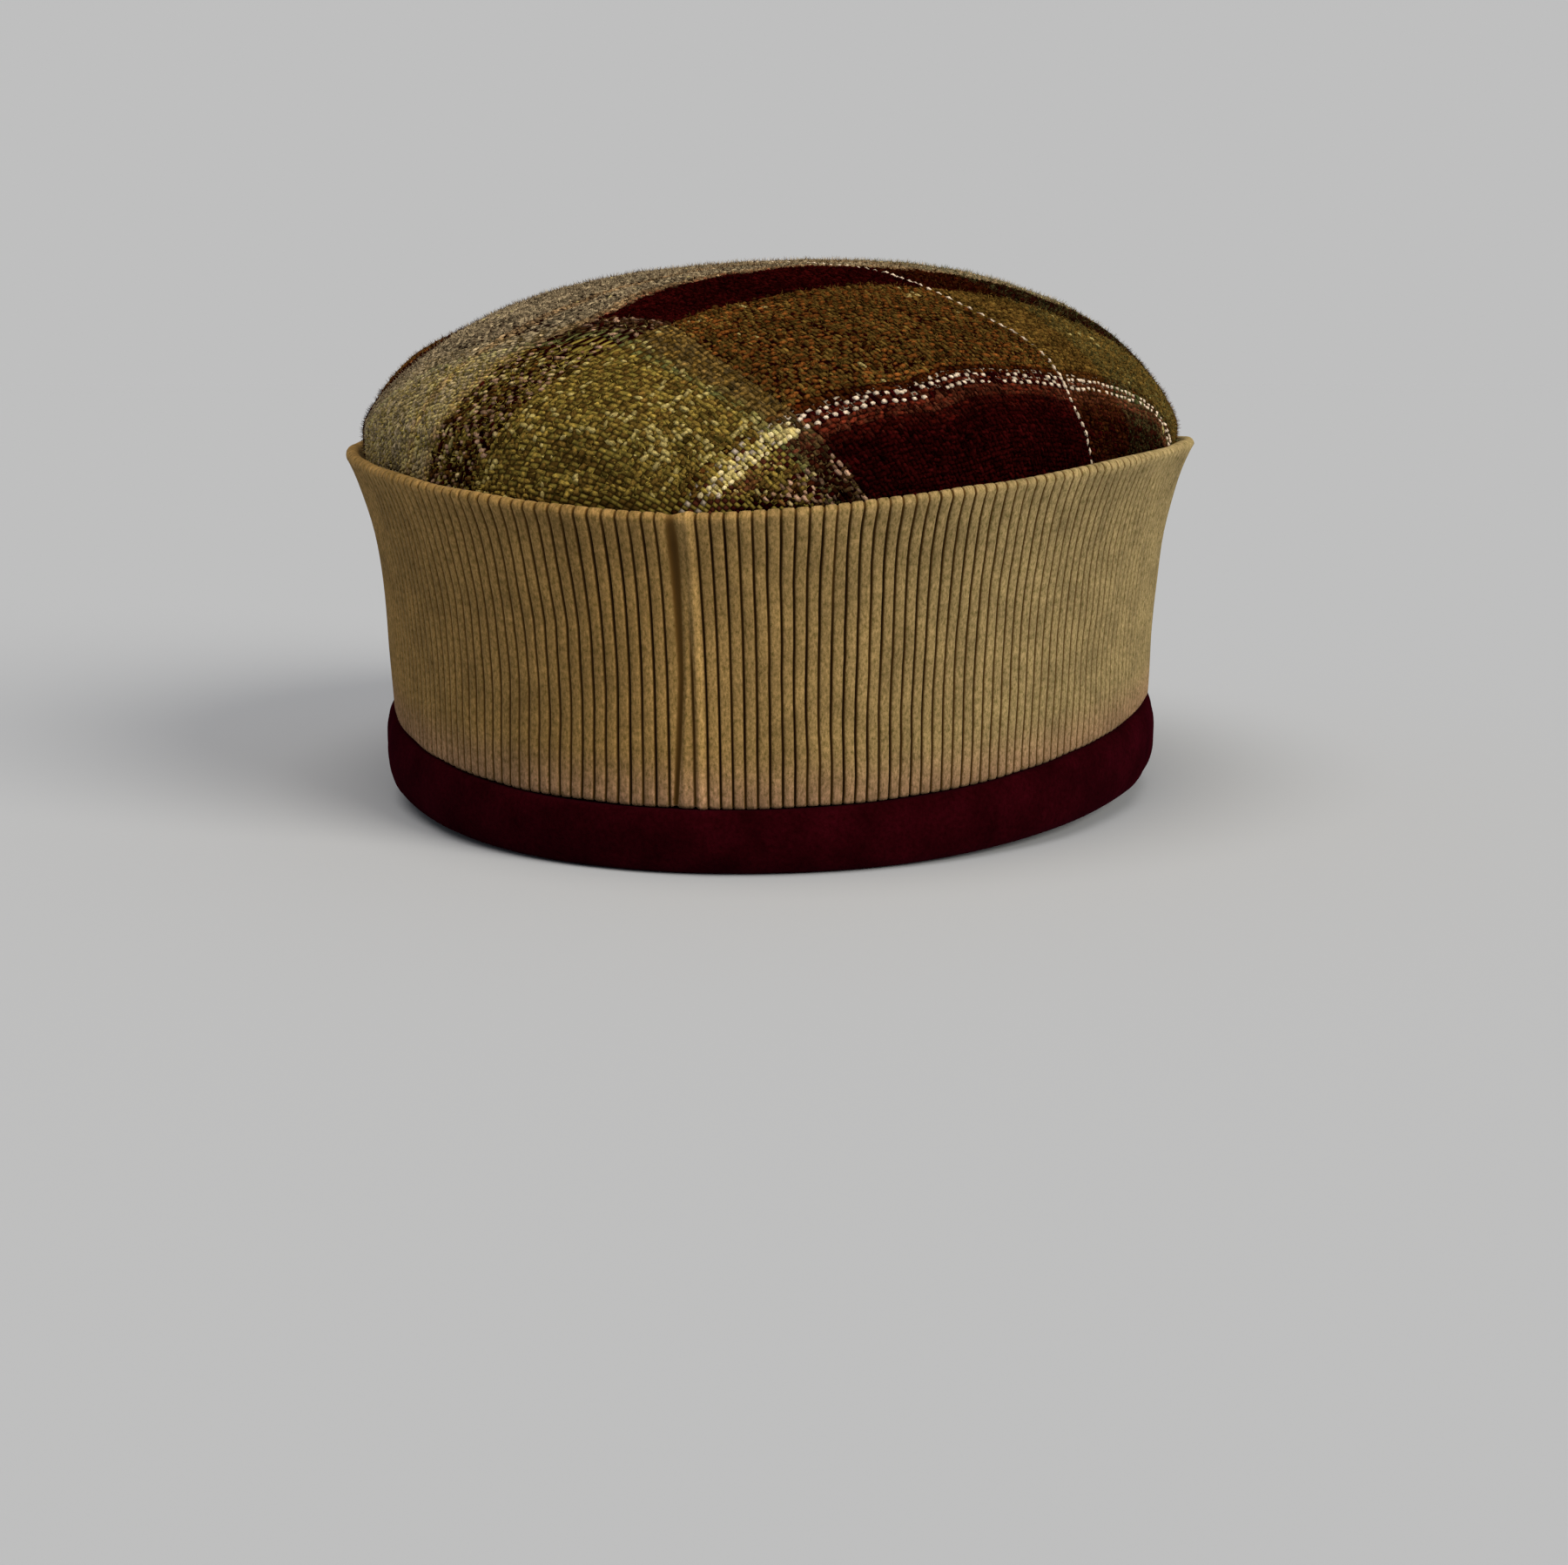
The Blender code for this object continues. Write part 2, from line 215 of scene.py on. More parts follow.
class CapStage(bpy.types.PropertyGroup):
    """The camera's place and the room around the cap."""

    camera_turn: number("Camera Turn", 8.07, "Degrees round from the centre back")
    camera_rise: number("Camera Rise", 11.06, "Degrees above the horizon")
    camera_away: sized("Camera Distance", 500.37, "From the point that the camera looks past")
    camera_right: sized("Camera Right", 2.39, "Shift of the camera to its right")
    camera_up: sized("Camera Up", -15.56, "Shift of the camera upwards")
    aim_height: sized("Aim Height", 13.21, "Height above the floor of the point that the camera turns round")
    focal_pixels: number("Focal Pixels", 2369.74, "Focal length in the photo's pixels")
    sensor_width: number("Sensor Width", 36.0, "Width of the sensor in millimetres")
    floor_radius: sized("Floor Radius", 40000.0, "Radius of the floor")
    backdrop: hexed("Backdrop", "#bfbfbf", "Pale grey of the lit floor and the room behind it")
    room_light: number("Room Light", 0.5, "Share of the backdrop's light on the cap")


def sizes():
    return bpy.context.scene.cap_sizes


def looks():
    return bpy.context.scene.cap_looks


def linear(hex_colour):
    """An sRGB hex value as linear red, green, blue and alpha."""
    parts = [int(hex_colour[i : i + 2], 16) / 255 for i in (1, 3, 5)]
    return [p / 12.92 if p <= 0.04045 else ((p + 0.055) / 1.055) ** 2.4 for p in parts] + [1.0]


# Shape of the cap


def offset_radius(offset, angle):
    """Plan radius of the oval that lies this far outside the head opening."""
    s = sizes()
    across = np.abs(np.cos(angle) / (s.head_width / 2 + offset)) ** s.oval_power
    along = np.abs(np.sin(angle) / (s.head_length / 2 + offset)) ** s.oval_power
    return (across + along) ** (-1.0 / s.oval_power)


def crown_outer():
    return sizes().band_inset + sizes().crown_wall


def cuff_inner():
    return crown_outer() + sizes().clearance


def cuff_outer():
    return cuff_inner() + sizes().cuff_wall


def crown_flare():
    return sizes().cuff_flare - sizes().rim_gap


def flare_share(height_share):
    """Share of the flare at a share of the wall's height: gentle below and quick near the rim."""
    return 0.22 * height_share + 0.78 * height_share**3.6


def side_share(angle):
    """0 at the centre back and front, 1 or -1 over the ears."""
    return offset_radius(cuff_outer(), angle) * np.cos(angle) / (sizes().head_width / 2 + cuff_outer())


def foot_height(angle):
    return sizes().band_height + sizes().foot_rise * np.abs(side_share(angle)) ** 3.0


def rim_height(angle):
    s = sizes()
    side = side_share(angle)
    level = s.band_height + s.cuff_height + s.rim_rise * np.abs(side) ** 1.6
    return level + s.rim_lean * s.head_width / 2 * side


def underside_height(angle):
    s = sizes()
    beyond = np.maximum(0.0, np.abs(side_share(angle)) - s.rest_share) / (1 - s.rest_share)
    return s.ear_lift * beyond**2


def wall_height(share, angle):
    foot = foot_height(angle)
    return foot + (rim_height(angle) - foot) * share


def dome_start():
    s = sizes()
    return s.band_height + s.cuff_height + s.rim_rise + s.crown_shoulder


def plan_points(radius, angle, height):
    """Points at a radius and an angle in plan, and a height."""
    return np.stack([radius * np.cos(angle), radius * np.sin(angle), height], axis=-1)


def dent_at(angle, out):
    """How far the crown is pushed in at a place."""
    pushed = np.zeros(np.broadcast(angle, out).shape)
    for dent_angle, dent_out, width, depth in CROWN_DENTS:
        turn = (angle - math.radians(dent_angle) + math.pi) % FULL_TURN - math.pi
        gap = np.hypot(turn * dent_out, out - dent_out) / width
        pushed = pushed + depth * sizes().crown_wall * np.exp(-gap * gap)
    return pushed


def dome_point(angle, out):
    """Place on the dome's outer side, as x, y and z arrays."""
    s = sizes()
    radius = offset_radius(crown_outer() + crown_flare(), angle) * out
    rise = np.maximum(0.0, 1 - out**2.8) ** (1 / 1.4)
    lean = s.dome_lean * radius * np.cos(angle) * (1 - out * out)
    height = dome_start() + s.dome_rise * rise + lean - dent_at(angle, out)
    return plan_points(radius, angle, height)


def loop_places(lengths, offset):
    """Plan angles at these distances round the oval from the centre back, and the oval's whole length."""
    steps = 7200
    angles = BACK_ANGLE + FULL_TURN * np.arange(steps + 1) / steps
    radius = offset_radius(offset, angles)
    x, y = radius * np.cos(angles), radius * np.sin(angles)
    run = np.concatenate([[0], np.cumsum(np.hypot(np.diff(x), np.diff(y)))])
    turns, rest = np.divmod(lengths, run[-1])
    return np.interp(rest, run, angles) + turns * FULL_TURN, run[-1]


def smooth_noise(points, scale, seed):
    """Soft noise from -1 to 1 at each point, with features about scale wide."""
    shift = Vector((seed * 17.3, seed * 5.1, seed * 9.7))
    return np.array([noise.noise(Vector(p) / scale + shift) for p in points])


# Meshes and objects


def grid_faces(rows, columns, first=0, closed_rows=False):
    """Quads between rows of points that each run round the cap."""
    faces = []
    for row in range(rows if closed_rows else rows - 1):
        low = first + row * columns
        high = first + ((row + 1) % rows) * columns
        for i in range(columns):
            j = (i + 1) % columns
            faces.append((low + i, low + j, high + j, high + i))
    return faces


def new_piece(name, points, faces):
    """A named object at the origin with its place in its mesh, shaded smooth."""
    mesh = bpy.data.meshes.new(name)
    mesh.from_pydata([tuple(p) for p in points], [], faces)
    mesh.shade_smooth()
    piece = bpy.data.objects.new(name, mesh)
    bpy.context.scene.collection.objects.link(piece)
    return piece


def give_attribute(piece, name, kind, values):
    """Stores one value for each point of the piece."""
    attribute = piece.data.attributes.new(name, kind, "POINT")
    field = {"FLOAT": "value", "FLOAT_VECTOR": "vector", "FLOAT_COLOR": "color"}[kind]
    attribute.data.foreach_set(field, np.asarray(values, dtype=np.float32).ravel())


def vertex_normals(mesh):
    normals = np.zeros(len(mesh.vertices) * 3, dtype=np.float32)
    mesh.vertex_normals.foreach_get("vector", normals)
    return normals.reshape(-1, 3).astype(float)


def add_node(tree, kind, inputs=None, **settings):
    """Adds a node with its settings. Inputs given as nodes or sockets are linked, others are set."""
    node = tree.nodes.new(kind)
    for name, value in settings.items():
        setattr(node, name, value)
    for key, value in (inputs or {}).items():
        if isinstance(value, bpy.types.Node):
            value = value.outputs[0]
        if isinstance(value, bpy.types.NodeSocket):
            tree.links.new(value, node.inputs[key])
        else:
            node.inputs[key].default_value = value
    return node


def geometry_tree(name, named_inputs):
    """A Geometry Nodes tree with a geometry input and output and these named inputs."""
    tree = bpy.data.node_groups.new(name, "GeometryNodeTree")
    tree.interface.new_socket(name="Geometry", in_out="INPUT", socket_type="NodeSocketGeometry")
    for label, kind in named_inputs:
        tree.interface.new_socket(name=label, in_out="INPUT", socket_type=kind)
    tree.interface.new_socket(name="Geometry", in_out="OUTPUT", socket_type="NodeSocketGeometry")
    return tree, tree.nodes.new("NodeGroupInput"), tree.nodes.new("NodeGroupOutput")


def finish_tree(tree, end, geometry, material_socket):
    """Ends a tree in Realize Instances and Set Material."""
    real = add_node(tree, "GeometryNodeRealizeInstances", {"Geometry": geometry})
    dressed = add_node(tree, "GeometryNodeSetMaterial", {"Geometry": real, "Material": material_socket})
    tree.links.new(dressed.outputs[0], end.inputs[0])


def grown_mesh(source, tree, values, name):
    """The tree's result on a source object, as a new plain piece, with the source removed."""
    modifier = source.modifiers.new("grow", "NODES")
    modifier.node_group = tree
    for item in tree.interface.items_tree:
        if item.in_out == "INPUT" and item.name in values:
            modifier[item.identifier] = values[item.name]
    graph = bpy.context.evaluated_depsgraph_get()
    mesh = bpy.data.meshes.new_from_object(source.evaluated_get(graph), depsgraph=graph)
    bpy.data.objects.remove(source)
    mesh.name = name
    piece = bpy.data.objects.new(name, mesh)
    bpy.context.scene.collection.objects.link(piece)
    return piece


def new_material(name):
    """An empty material, and add_node for its tree."""
    material = bpy.data.materials.new(name)
    material.use_nodes = True
    material.node_tree.nodes.clear()
    return material, partial(add_node, material.node_tree)


def finish_material(material, shader):
    add_node(material.node_tree, "ShaderNodeOutputMaterial", {"Surface": shader})
    return material


# The crown's cloth


def meridian_table():
    """Distance over the dome from its top, for plan angles all round and shares of the way out."""
    angles = np.linspace(0, FULL_TURN, 241)
    outs = 1 - (1 - np.linspace(0, 1, 401)) ** 1.6
    places = dome_point(angles[:, None], outs[None, :])
    steps = np.linalg.norm(np.diff(places, axis=1), axis=2)
    run = np.concatenate([np.zeros((len(angles), 1)), np.cumsum(steps, axis=1)], axis=1)
    return {"angles": angles, "outs": outs, "run": run}


def between_meridians(table, angle, read):
    """Blends what read gives at the table's meridians on each side of each plan angle."""
    at = (angle % FULL_TURN) / FULL_TURN * (len(table["angles"]) - 1)
    low = np.minimum(np.floor(at).astype(int), len(table["angles"]) - 2)
    share = at - low
    near = np.array([read(i, row) for i, row in enumerate(low)])
    far = np.array([read(i, row + 1) for i, row in enumerate(low)])
    return near + (far - near) * share


def family_direction(place, turn):
    """Direction of a family's lines at this place across the cloth, in radians."""
    share = np.clip((place / MM - turn["far"]) / (turn["near"] - turn["far"]), 0, 1)
    return np.radians(turn["far_angle"] + (turn["near_angle"] - turn["far_angle"]) * share)


def across_family(u, v, turn):
    """Place across a family of lines of each point of the flattened cloth."""
    place = np.zeros_like(u)
    for _ in range(40):
        direction = family_direction(place, turn)
        place = 0.5 * place + 0.5 * (v * np.cos(direction) - u * np.sin(direction))
    return place


def pull_at(falling, rising, pulls):
    """How far sewing has shifted a family at a place of the flattened cloth."""
    shift = np.zeros_like(falling)
    for at_falling, at_rising, falling_reach, rising_reach, yarns in pulls:
        long = (falling / MM - at_falling) / falling_reach
        wide = (rising / MM - at_rising) / rising_reach
        shift = shift + yarns * MM * np.exp(-(long**2) - wide**2)
    return shift


def weave_places(angle, distance):
    """Places across the falling and the rising yarns, for points at this distance from the crown's top."""
    u, v = distance * np.cos(angle), distance * np.sin(angle)
    rising = across_family(u, v, RISING_TURN)
    falling = across_family(u, v, FALLING_TURN)
    shifted_falling = falling + pull_at(falling, rising, FALLING_PULLS)
    shifted_rising = rising + pull_at(falling, rising, RISING_PULLS)
    return np.stack([shifted_falling, shifted_rising, np.zeros_like(u)], axis=-1)


def cloth_point(table, falling, rising):
    """Where a place of the woven cloth lies on the crown, and how far it is below the dome's edge."""
    flat_falling, flat_rising = falling, rising
    for _ in range(6):
        flat_falling, flat_rising = (
            falling - pull_at(flat_falling, flat_rising, FALLING_PULLS),
            rising - pull_at(flat_falling, flat_rising, RISING_PULLS),
        )
    a, b = family_direction(flat_rising, RISING_TURN), family_direction(flat_falling, FALLING_TURN)
    spread = np.sin(b - a)
    u = (flat_rising * np.cos(b) - flat_falling * np.cos(a)) / spread
    v = (flat_rising * np.sin(b) - flat_falling * np.sin(a)) / spread
    distance, angle = np.hypot(u, v), np.arctan2(v, u)
    runs, outs = table["run"], table["outs"]
    out = between_meridians(table, angle, lambda i, row: np.interp(distance[i], runs[row], outs))
    edge = between_meridians(table, angle, lambda i, row: runs[row, -1])
    below = np.maximum(0.0, distance - edge)
    points = dome_point(angle, np.where(below > 0, 1.0, out))
    points[:, 2] -= below
    return points, below, angle


def disc_grid(cells):
    """A square grid folded onto a disc: angle and share of the way out of each point, and its quads."""
    line = np.linspace(-1, 1, cells + 1)
    b, a = np.meshgrid(line, line, indexing="ij")
    a, b = a.ravel(), b.ravel()
    wide = np.abs(a) > np.abs(b)
    reach = np.where(wide, a, b)
    safe = np.where(reach == 0, 1, reach)
    turn = np.where(wide, math.pi / 4 * b / safe, math.pi / 2 - math.pi / 4 * a / safe)
    angle = np.where(reach < 0, turn + math.pi, turn)
    share = np.abs(reach)
    n = cells + 1
    faces = []
    for j in range(cells):
        for i in range(cells):
            k = j * n + i
            faces.append((k, k + 1, k + n + 1, k + n))
    edge = list(range(n))
    edge += [j * n + n - 1 for j in range(1, n)]
    edge += [(n - 1) * n + i for i in range(n - 2, -1, -1)]
    edge += [j * n for j in range(n - 2, 0, -1)]
    return angle, share, faces, edge


def crown_shell():
    """Points, faces and weave places of the crown's closed cloth: dome and wall outside, then inside."""
    s = sizes()
    angle, share, faces, edge = disc_grid(s.crown_grid)
    out = 1 - (1 - share) ** 1.4
    dome = dome_point(angle, out)
    table = meridian_table()
    run = between_meridians(table, angle, lambda i, row: np.interp(out[i], table["outs"], table["run"][row]))
    weave = weave_places(angle, run)
    edge_angle, edge_run = angle[edge], run[edge]
    rim = rim_height(edge_angle)
    foot = foot_height(edge_angle)
    rows, row_weave = [], []
    dome_drop = dome_start() - rim - dent_at(edge_angle, np.ones_like(edge_angle))
    for share_down in (0.5, 1.0):
        height = dome[edge, 2] - (dome[edge, 2] - rim) * share_down
        radius = offset_radius(crown_outer() + crown_flare(), edge_angle)
        rows.append(plan_points(radius, edge_angle, height))
        row_weave.append(weave_places(edge_angle, edge_run + dome_drop * share_down))
    for height_share in (0.94, 0.86, 0.76, 0.64, 0.5, 0.34, 0.17, 0.0):
        radius = offset_radius(crown_outer() + crown_flare() * flare_share(height_share), edge_angle)
        height = foot + (rim - foot) * height_share
        rows.append(plan_points(radius, edge_angle, height))
        row_weave.append(weave_places(edge_angle, edge_run + dome_drop + rim - height))
    points = np.concatenate([dome] + rows)
    places = np.concatenate([weave] + row_weave)
    columns = len(edge)
    walls = []
    above = edge
    for row in range(len(rows)):
        below = [len(dome) + row * columns + i for i in range(columns)]
        for i in range(columns):
            j = (i + 1) % columns
            walls.append((above[i], below[i], below[j], above[j]))
        above = below
    return points, faces + walls, places, above


def crown_lumps(points):
    """How far the cloth's small lumps stand out, where its soft yarns bunch. None inside the cuff."""
    lumps = 0.30 * MM * smooth_noise(points, 9 * MM, 1) + 0.16 * MM * smooth_noise(points, 3.2 * MM, 2)
    return lumps * np.clip((points[:, 2] - 60 * MM) / (15 * MM), 0, 1)


def make_crown_cloth():
    """The crown's cloth itself, under its raised yarns."""
    points, faces, places, hem = crown_shell()
    probe = bpy.data.meshes.new("probe")
    probe.from_pydata([tuple(p) for p in points], [], faces)
    normals = vertex_normals(probe)
    bpy.data.meshes.remove(probe)
    outer = points + normals * crown_lumps(points)[:, None]
    inner = points - normals * sizes().crown_wall
    count = len(points)
    inner_faces = [tuple(count + i for i in reversed(face)) for face in faces]
    hem_faces = []
    for i in range(len(hem)):
        j = (i + 1) % len(hem)
        hem_faces.append((hem[i], count + hem[i], count + hem[j], hem[j]))
    piece = new_piece("crown_cloth", np.concatenate([outer, inner]), faces + inner_faces + hem_faces)
    give_attribute(piece, "weave", "FLOAT_VECTOR", np.concatenate([places, places]))
    return piece


def stripe_rows(numbers, stripes):
    """The row of the stripe that each numbered yarn of a family lies in."""
    return np.searchsorted([start for start, _ in stripes], numbers, side="right") - 1


def yarn_colours(numbers, stripes):
    """The linear colour of each numbered yarn of a family."""
    colours = np.array([linear(getattr(looks(), yarn)) for _, yarn in stripes])
    return colours[stripe_rows(numbers, stripes)]


def cream_yarns(numbers, stripes):
    """Whether each numbered yarn of a family is one of the thick cream ones."""
    return np.array([yarn == "cream" for _, yarn in stripes])[stripe_rows(numbers, stripes)]


def yarn_light(falling, rising, family):
    """Light and dark of each spot of a soft yarn: slubs, flecks and soft patches of the cloth."""
    own, other, seed = (rising, falling, 21) if family == "rising" else (falling, rising, 31)
    spots = np.stack([own * 7.3, other * 0.21, np.full(len(own), float(seed))], axis=-1)
    slub = smooth_noise(spots, 1.0, seed)
    fleck = smooth_noise(spots * [1.0, 3.4, 1.0], 1.0, seed + 1)
    patch = smooth_noise(np.stack([falling, rising, np.zeros(len(own))], axis=-1), 9.0, 41)
    return np.clip(1.0 + 0.85 * slub + 0.8 * fleck, 0.2, 2.3) * (1 + 0.45 * patch)


def cloth_frames(table, places, points):
    """The ways over the next falling and the next rising yarn at each place of the cloth, and the way out."""
    step, inside = 0.4 * MM, [0, 0, 50 * MM]
    past_falling = cloth_point(table, places[0] + step, places[1])[0] - points
    past_rising = cloth_point(table, places[0], places[1] + step)[0] - points
    out = np.cross(past_falling, past_rising)
    out *= np.sign(np.sum(out * (points - inside), axis=1))[:, None]
    return past_falling, past_rising, out / np.linalg.norm(out, axis=1)[:, None]


def pile_piece(name, points, rows, tree, values):
    """A piece with a cone on each point. The rows say how it lies and stands, its size and its colour."""
    base = new_piece(name + "_base", points, [])
    for label, row in zip(("along", "out", "spans"), rows):
        give_attribute(base, label, "FLOAT_VECTOR", row)
    give_attribute(base, "yarn_colour", "FLOAT_COLOR", rows[3])
    return grown_mesh(base, tree, values, name)


def make_yarns(family, tree, material):
    """The spots where one family's yarns come up over the other's, each a small soft mound."""
    pitch = looks().yarn_pitch
    numbers = np.arange(-HALF_YARNS, HALF_YARNS)
    falling, rising = (grid.ravel() for grid in np.meshgrid(numbers, numbers, indexing="ij"))
    random = np.random.default_rng(11)
    chance = random.random((len(falling), 8))
    over = (falling + rising + (chance[:, 0] > 0.94)) % 2
    keep = over == (1 if family == "rising" else 0)
    keep &= (np.hypot(falling, rising) < HALF_YARNS) & (chance[:, 7] > 0.03)
    falling, rising, chance = falling[keep], rising[keep], chance[keep]
    jitter = 0.5 * (chance[:, 1:3] - 0.5)
    places = [(falling + 0.5 + jitter[:, 0]) * pitch, (rising + 0.5 + jitter[:, 1]) * pitch]
    table = meridian_table()
    points, below, angle = cloth_point(table, *places)
    shown = below < dome_start() - rim_height(angle) + 3 * MM
    falling, rising, chance, points = falling[shown], rising[shown], chance[shown], points[shown]
    places = [place[shown] for place in places]
    past_falling, past_rising, out = cloth_frames(table, places, points)
    ahead, aside = (past_falling, past_rising) if family == "rising" else (past_rising, past_falling)
    along = ahead + aside * (0.7 * (chance[:, 3] - 0.5))[:, None]
    stripes = RISING_STRIPES if family == "rising" else FALLING_STRIPES
    own, other = (rising, falling) if family == "rising" else (falling, rising)
    other_stripes = FALLING_STRIPES if family == "rising" else RISING_STRIPES
    colours, crossed = yarn_colours(own, stripes), yarn_colours(other, other_stripes)
    cream, over_cream = cream_yarns(own, stripes), cream_yarns(other, other_stripes)
    olive_side = (rising > 26) | (rising < -50)
    dark = colours[:, 0] < 0.02
    over_maroon = (crossed[:, 0] < 0.02) & ~dark & ~cream
    # A dark line runs beside the cream yarns at the rim
    line = (falling > 91) & (falling < 95) & (rising < -99)
    colours[line] = linear(looks().maroon)
    # Pile of the next yarn and of the yarn beneath shows between that of the yarn on top, most of all in the
    # thinner falling yarns
    next_yarn = own + np.where(chance[:, 5] > 0.5, 1, -1)
    beside = yarn_colours(next_yarn, stripes)
    show = np.where(cream | cream_yarns(next_yarn, stripes), 0.0, 0.35 * chance[:, 4])[:, None]
    colours = colours + (beside - colours) * show
    least = 0.45 if family == "falling" else 0.0
    show = np.where(cream | over_cream, 0.0, least + 0.5 * chance[:, 6] ** 2)[:, None]
    colours = colours + (crossed - colours) * show
    # Yarns are darker and redder where they cross maroon ones, and light tips show beside the rim
    if family == "falling":
        colours[over_maroon, :3] *= [0.5, 0.31, 0.30]
        tips = np.clip(chance[:, 7] * 1.5 - np.where(rising < -99, 0.2, 0.5), 0, 0.8) * (falling > 89) * ~line
        lighter = colours + (np.array(linear(looks().tip)) - colours) * tips[:, None]
        colours = np.where(over_maroon[:, None], lighter, colours)
    else:
        colours[over_maroon & olive_side, :3] *= [0.98, 0.58, 0.55]
    # Where the cream yarns cross the light olive ones, their fluff runs together into one pale band
    fluff = (np.abs(rising + 98) < 1.5) & (falling > 91) & (chance[:, 1] > 0.2)
    colours[fluff] = colours[fluff] * 0.4 + np.array(linear(looks().slub)) * 0.75
    light = yarn_light(falling, rising, family)
    # Light cotton shows through the pile of the light olive yarns more than elsewhere
    leafy = (falling > 94) | (falling < -96)
    slubs = (light > np.where(leafy, 1.38, 1.95)) & (colours[:, 1] > 0.04) & ~cream
    colours[slubs] = colours[slubs] * 0.5 + np.array(linear(looks().slub)) * 0.5
    light = np.where(slubs | cream | fluff, 1.0, light * np.interp(falling, (15, 60), (0.74, 1.0)))
    colours[:, :3] *= (light * (0.8 + 0.4 * chance[:, 3]))[:, None]
    plump = (0.7 + 0.6 * chance[:, 4]) * np.where(fluff, 1.15, 1.0)
    long, wide, high = plump * (0.62 + 0.66 * chance[:, 5]), 0.53 * plump, 0.34 * plump
    dot = {"rising": (0.80, 0.62, 0.46), "falling": (1.05, 0.40, 0.38)}[family]
    dots = [size * (0.85 + 0.3 * chance[:, 5]) for size in dot]
    spans = [np.where(cream, small, full) * pitch for small, full in zip(dots, (long, wide, high))]
    spans = np.stack(spans, axis=-1)
    points = points + out * (crown_lumps(points) - 0.06 * MM)[:, None]
    values = {"Material": material, "Sides": 6}
    return pile_piece(family + "_yarns", points, (along, out, spans, colours), tree, values)


def mound_tree():
    """Puts a small cone on each point, turned along its yarn: a low mound or a thin fibre by its size."""
    named = [("Sides", "NodeSocketInt"), ("Material", "NodeSocketMaterial")]
    tree, start, end = geometry_tree("yarn_mounds", named)
    add = partial(add_node, tree)
    along = add("GeometryNodeInputNamedAttribute", {"Name": "along"}, data_type="FLOAT_VECTOR")
    out = add("GeometryNodeInputNamedAttribute", {"Name": "out"}, data_type="FLOAT_VECTOR")
    spans = add("GeometryNodeInputNamedAttribute", {"Name": "spans"}, data_type="FLOAT_VECTOR")
    upright = add("FunctionNodeAlignRotationToVector", {"Vector": out}, axis="Z")
    turned = add(
        "FunctionNodeAlignRotationToVector", {"Rotation": upright, "Vector": along}, axis="X", pivot_axis="Z"
    )
    mound = add(
        "GeometryNodeMeshCone",
        {"Vertices": start.outputs["Sides"], "Radius Top": 0.0, "Radius Bottom": 1.0, "Depth": 1.0},
    )
    placed = add(
        "GeometryNodeInstanceOnPoints",
        {"Points": start.outputs["Geometry"], "Instance": mound, "Rotation": turned, "Scale": spans},
    )
    smooth = add("GeometryNodeSetShadeSmooth", {"Geometry": placed})
    finish_tree(tree, end, smooth, start.outputs["Material"])
    return tree


def make_fuzz(tree, material):
    """Short fibres of the yarns' pile, standing all ways out of the crown's cloth."""
    look = looks()
    random = np.random.default_rng(23)
    count = look.fuzz_count
    reach = HALF_YARNS * look.yarn_pitch * np.sqrt(random.random(count))
    turn = FULL_TURN * random.random(count)
    chance = random.random((count, 6))
    places = [reach * np.cos(turn), reach * np.sin(turn)]
    table = meridian_table()
    points, below, angle = cloth_point(table, *places)
    shown = below < dome_start() - rim_height(angle) + 1 * MM
    numbers = [np.floor(place / look.yarn_pitch) for place in places]
    for number, stripes in zip(numbers, (FALLING_STRIPES, RISING_STRIPES)):
        for aside in (-1, 0, 1):
            shown &= ~cream_yarns(number + aside, stripes)
    points, chance = points[shown], chance[shown]
    places, numbers = ([row[shown] for row in rows] for rows in (places, numbers))
    past_falling, _, out = cloth_frames(table, places, points)
    side = past_falling / np.linalg.norm(past_falling, axis=1)[:, None]
    other_side = np.cross(out, side)
    turn = FULL_TURN * chance[:, 0]
    flat = side * np.cos(turn)[:, None] + other_side * np.sin(turn)[:, None]
    tilt = np.radians(8 + 62 * chance[:, 1])
    along = out * np.cos(tilt)[:, None] + flat * np.sin(tilt)[:, None]
    rising = yarn_colours(numbers[1], RISING_STRIPES)
    falling = yarn_colours(numbers[0], FALLING_STRIPES)
    colours = np.where((chance[:, 2] > 0.6)[:, None], falling, rising)
    colours[:, :3] *= (0.8 + 1.3 * chance[:, 3] ** 2)[:, None]
    points = points + out * (crown_lumps(points) + 0.12 * MM)[:, None]
    thick = np.full(len(points), look.fibre_thickness)
    spans = np.stack([thick, thick, look.fibre_length * (0.6 + 0.8 * chance[:, 4])], axis=-1)
    values = {"Material": material, "Sides": 3}
    return pile_piece("crown_fuzz", points, (flat, along, spans, colours), tree, values)


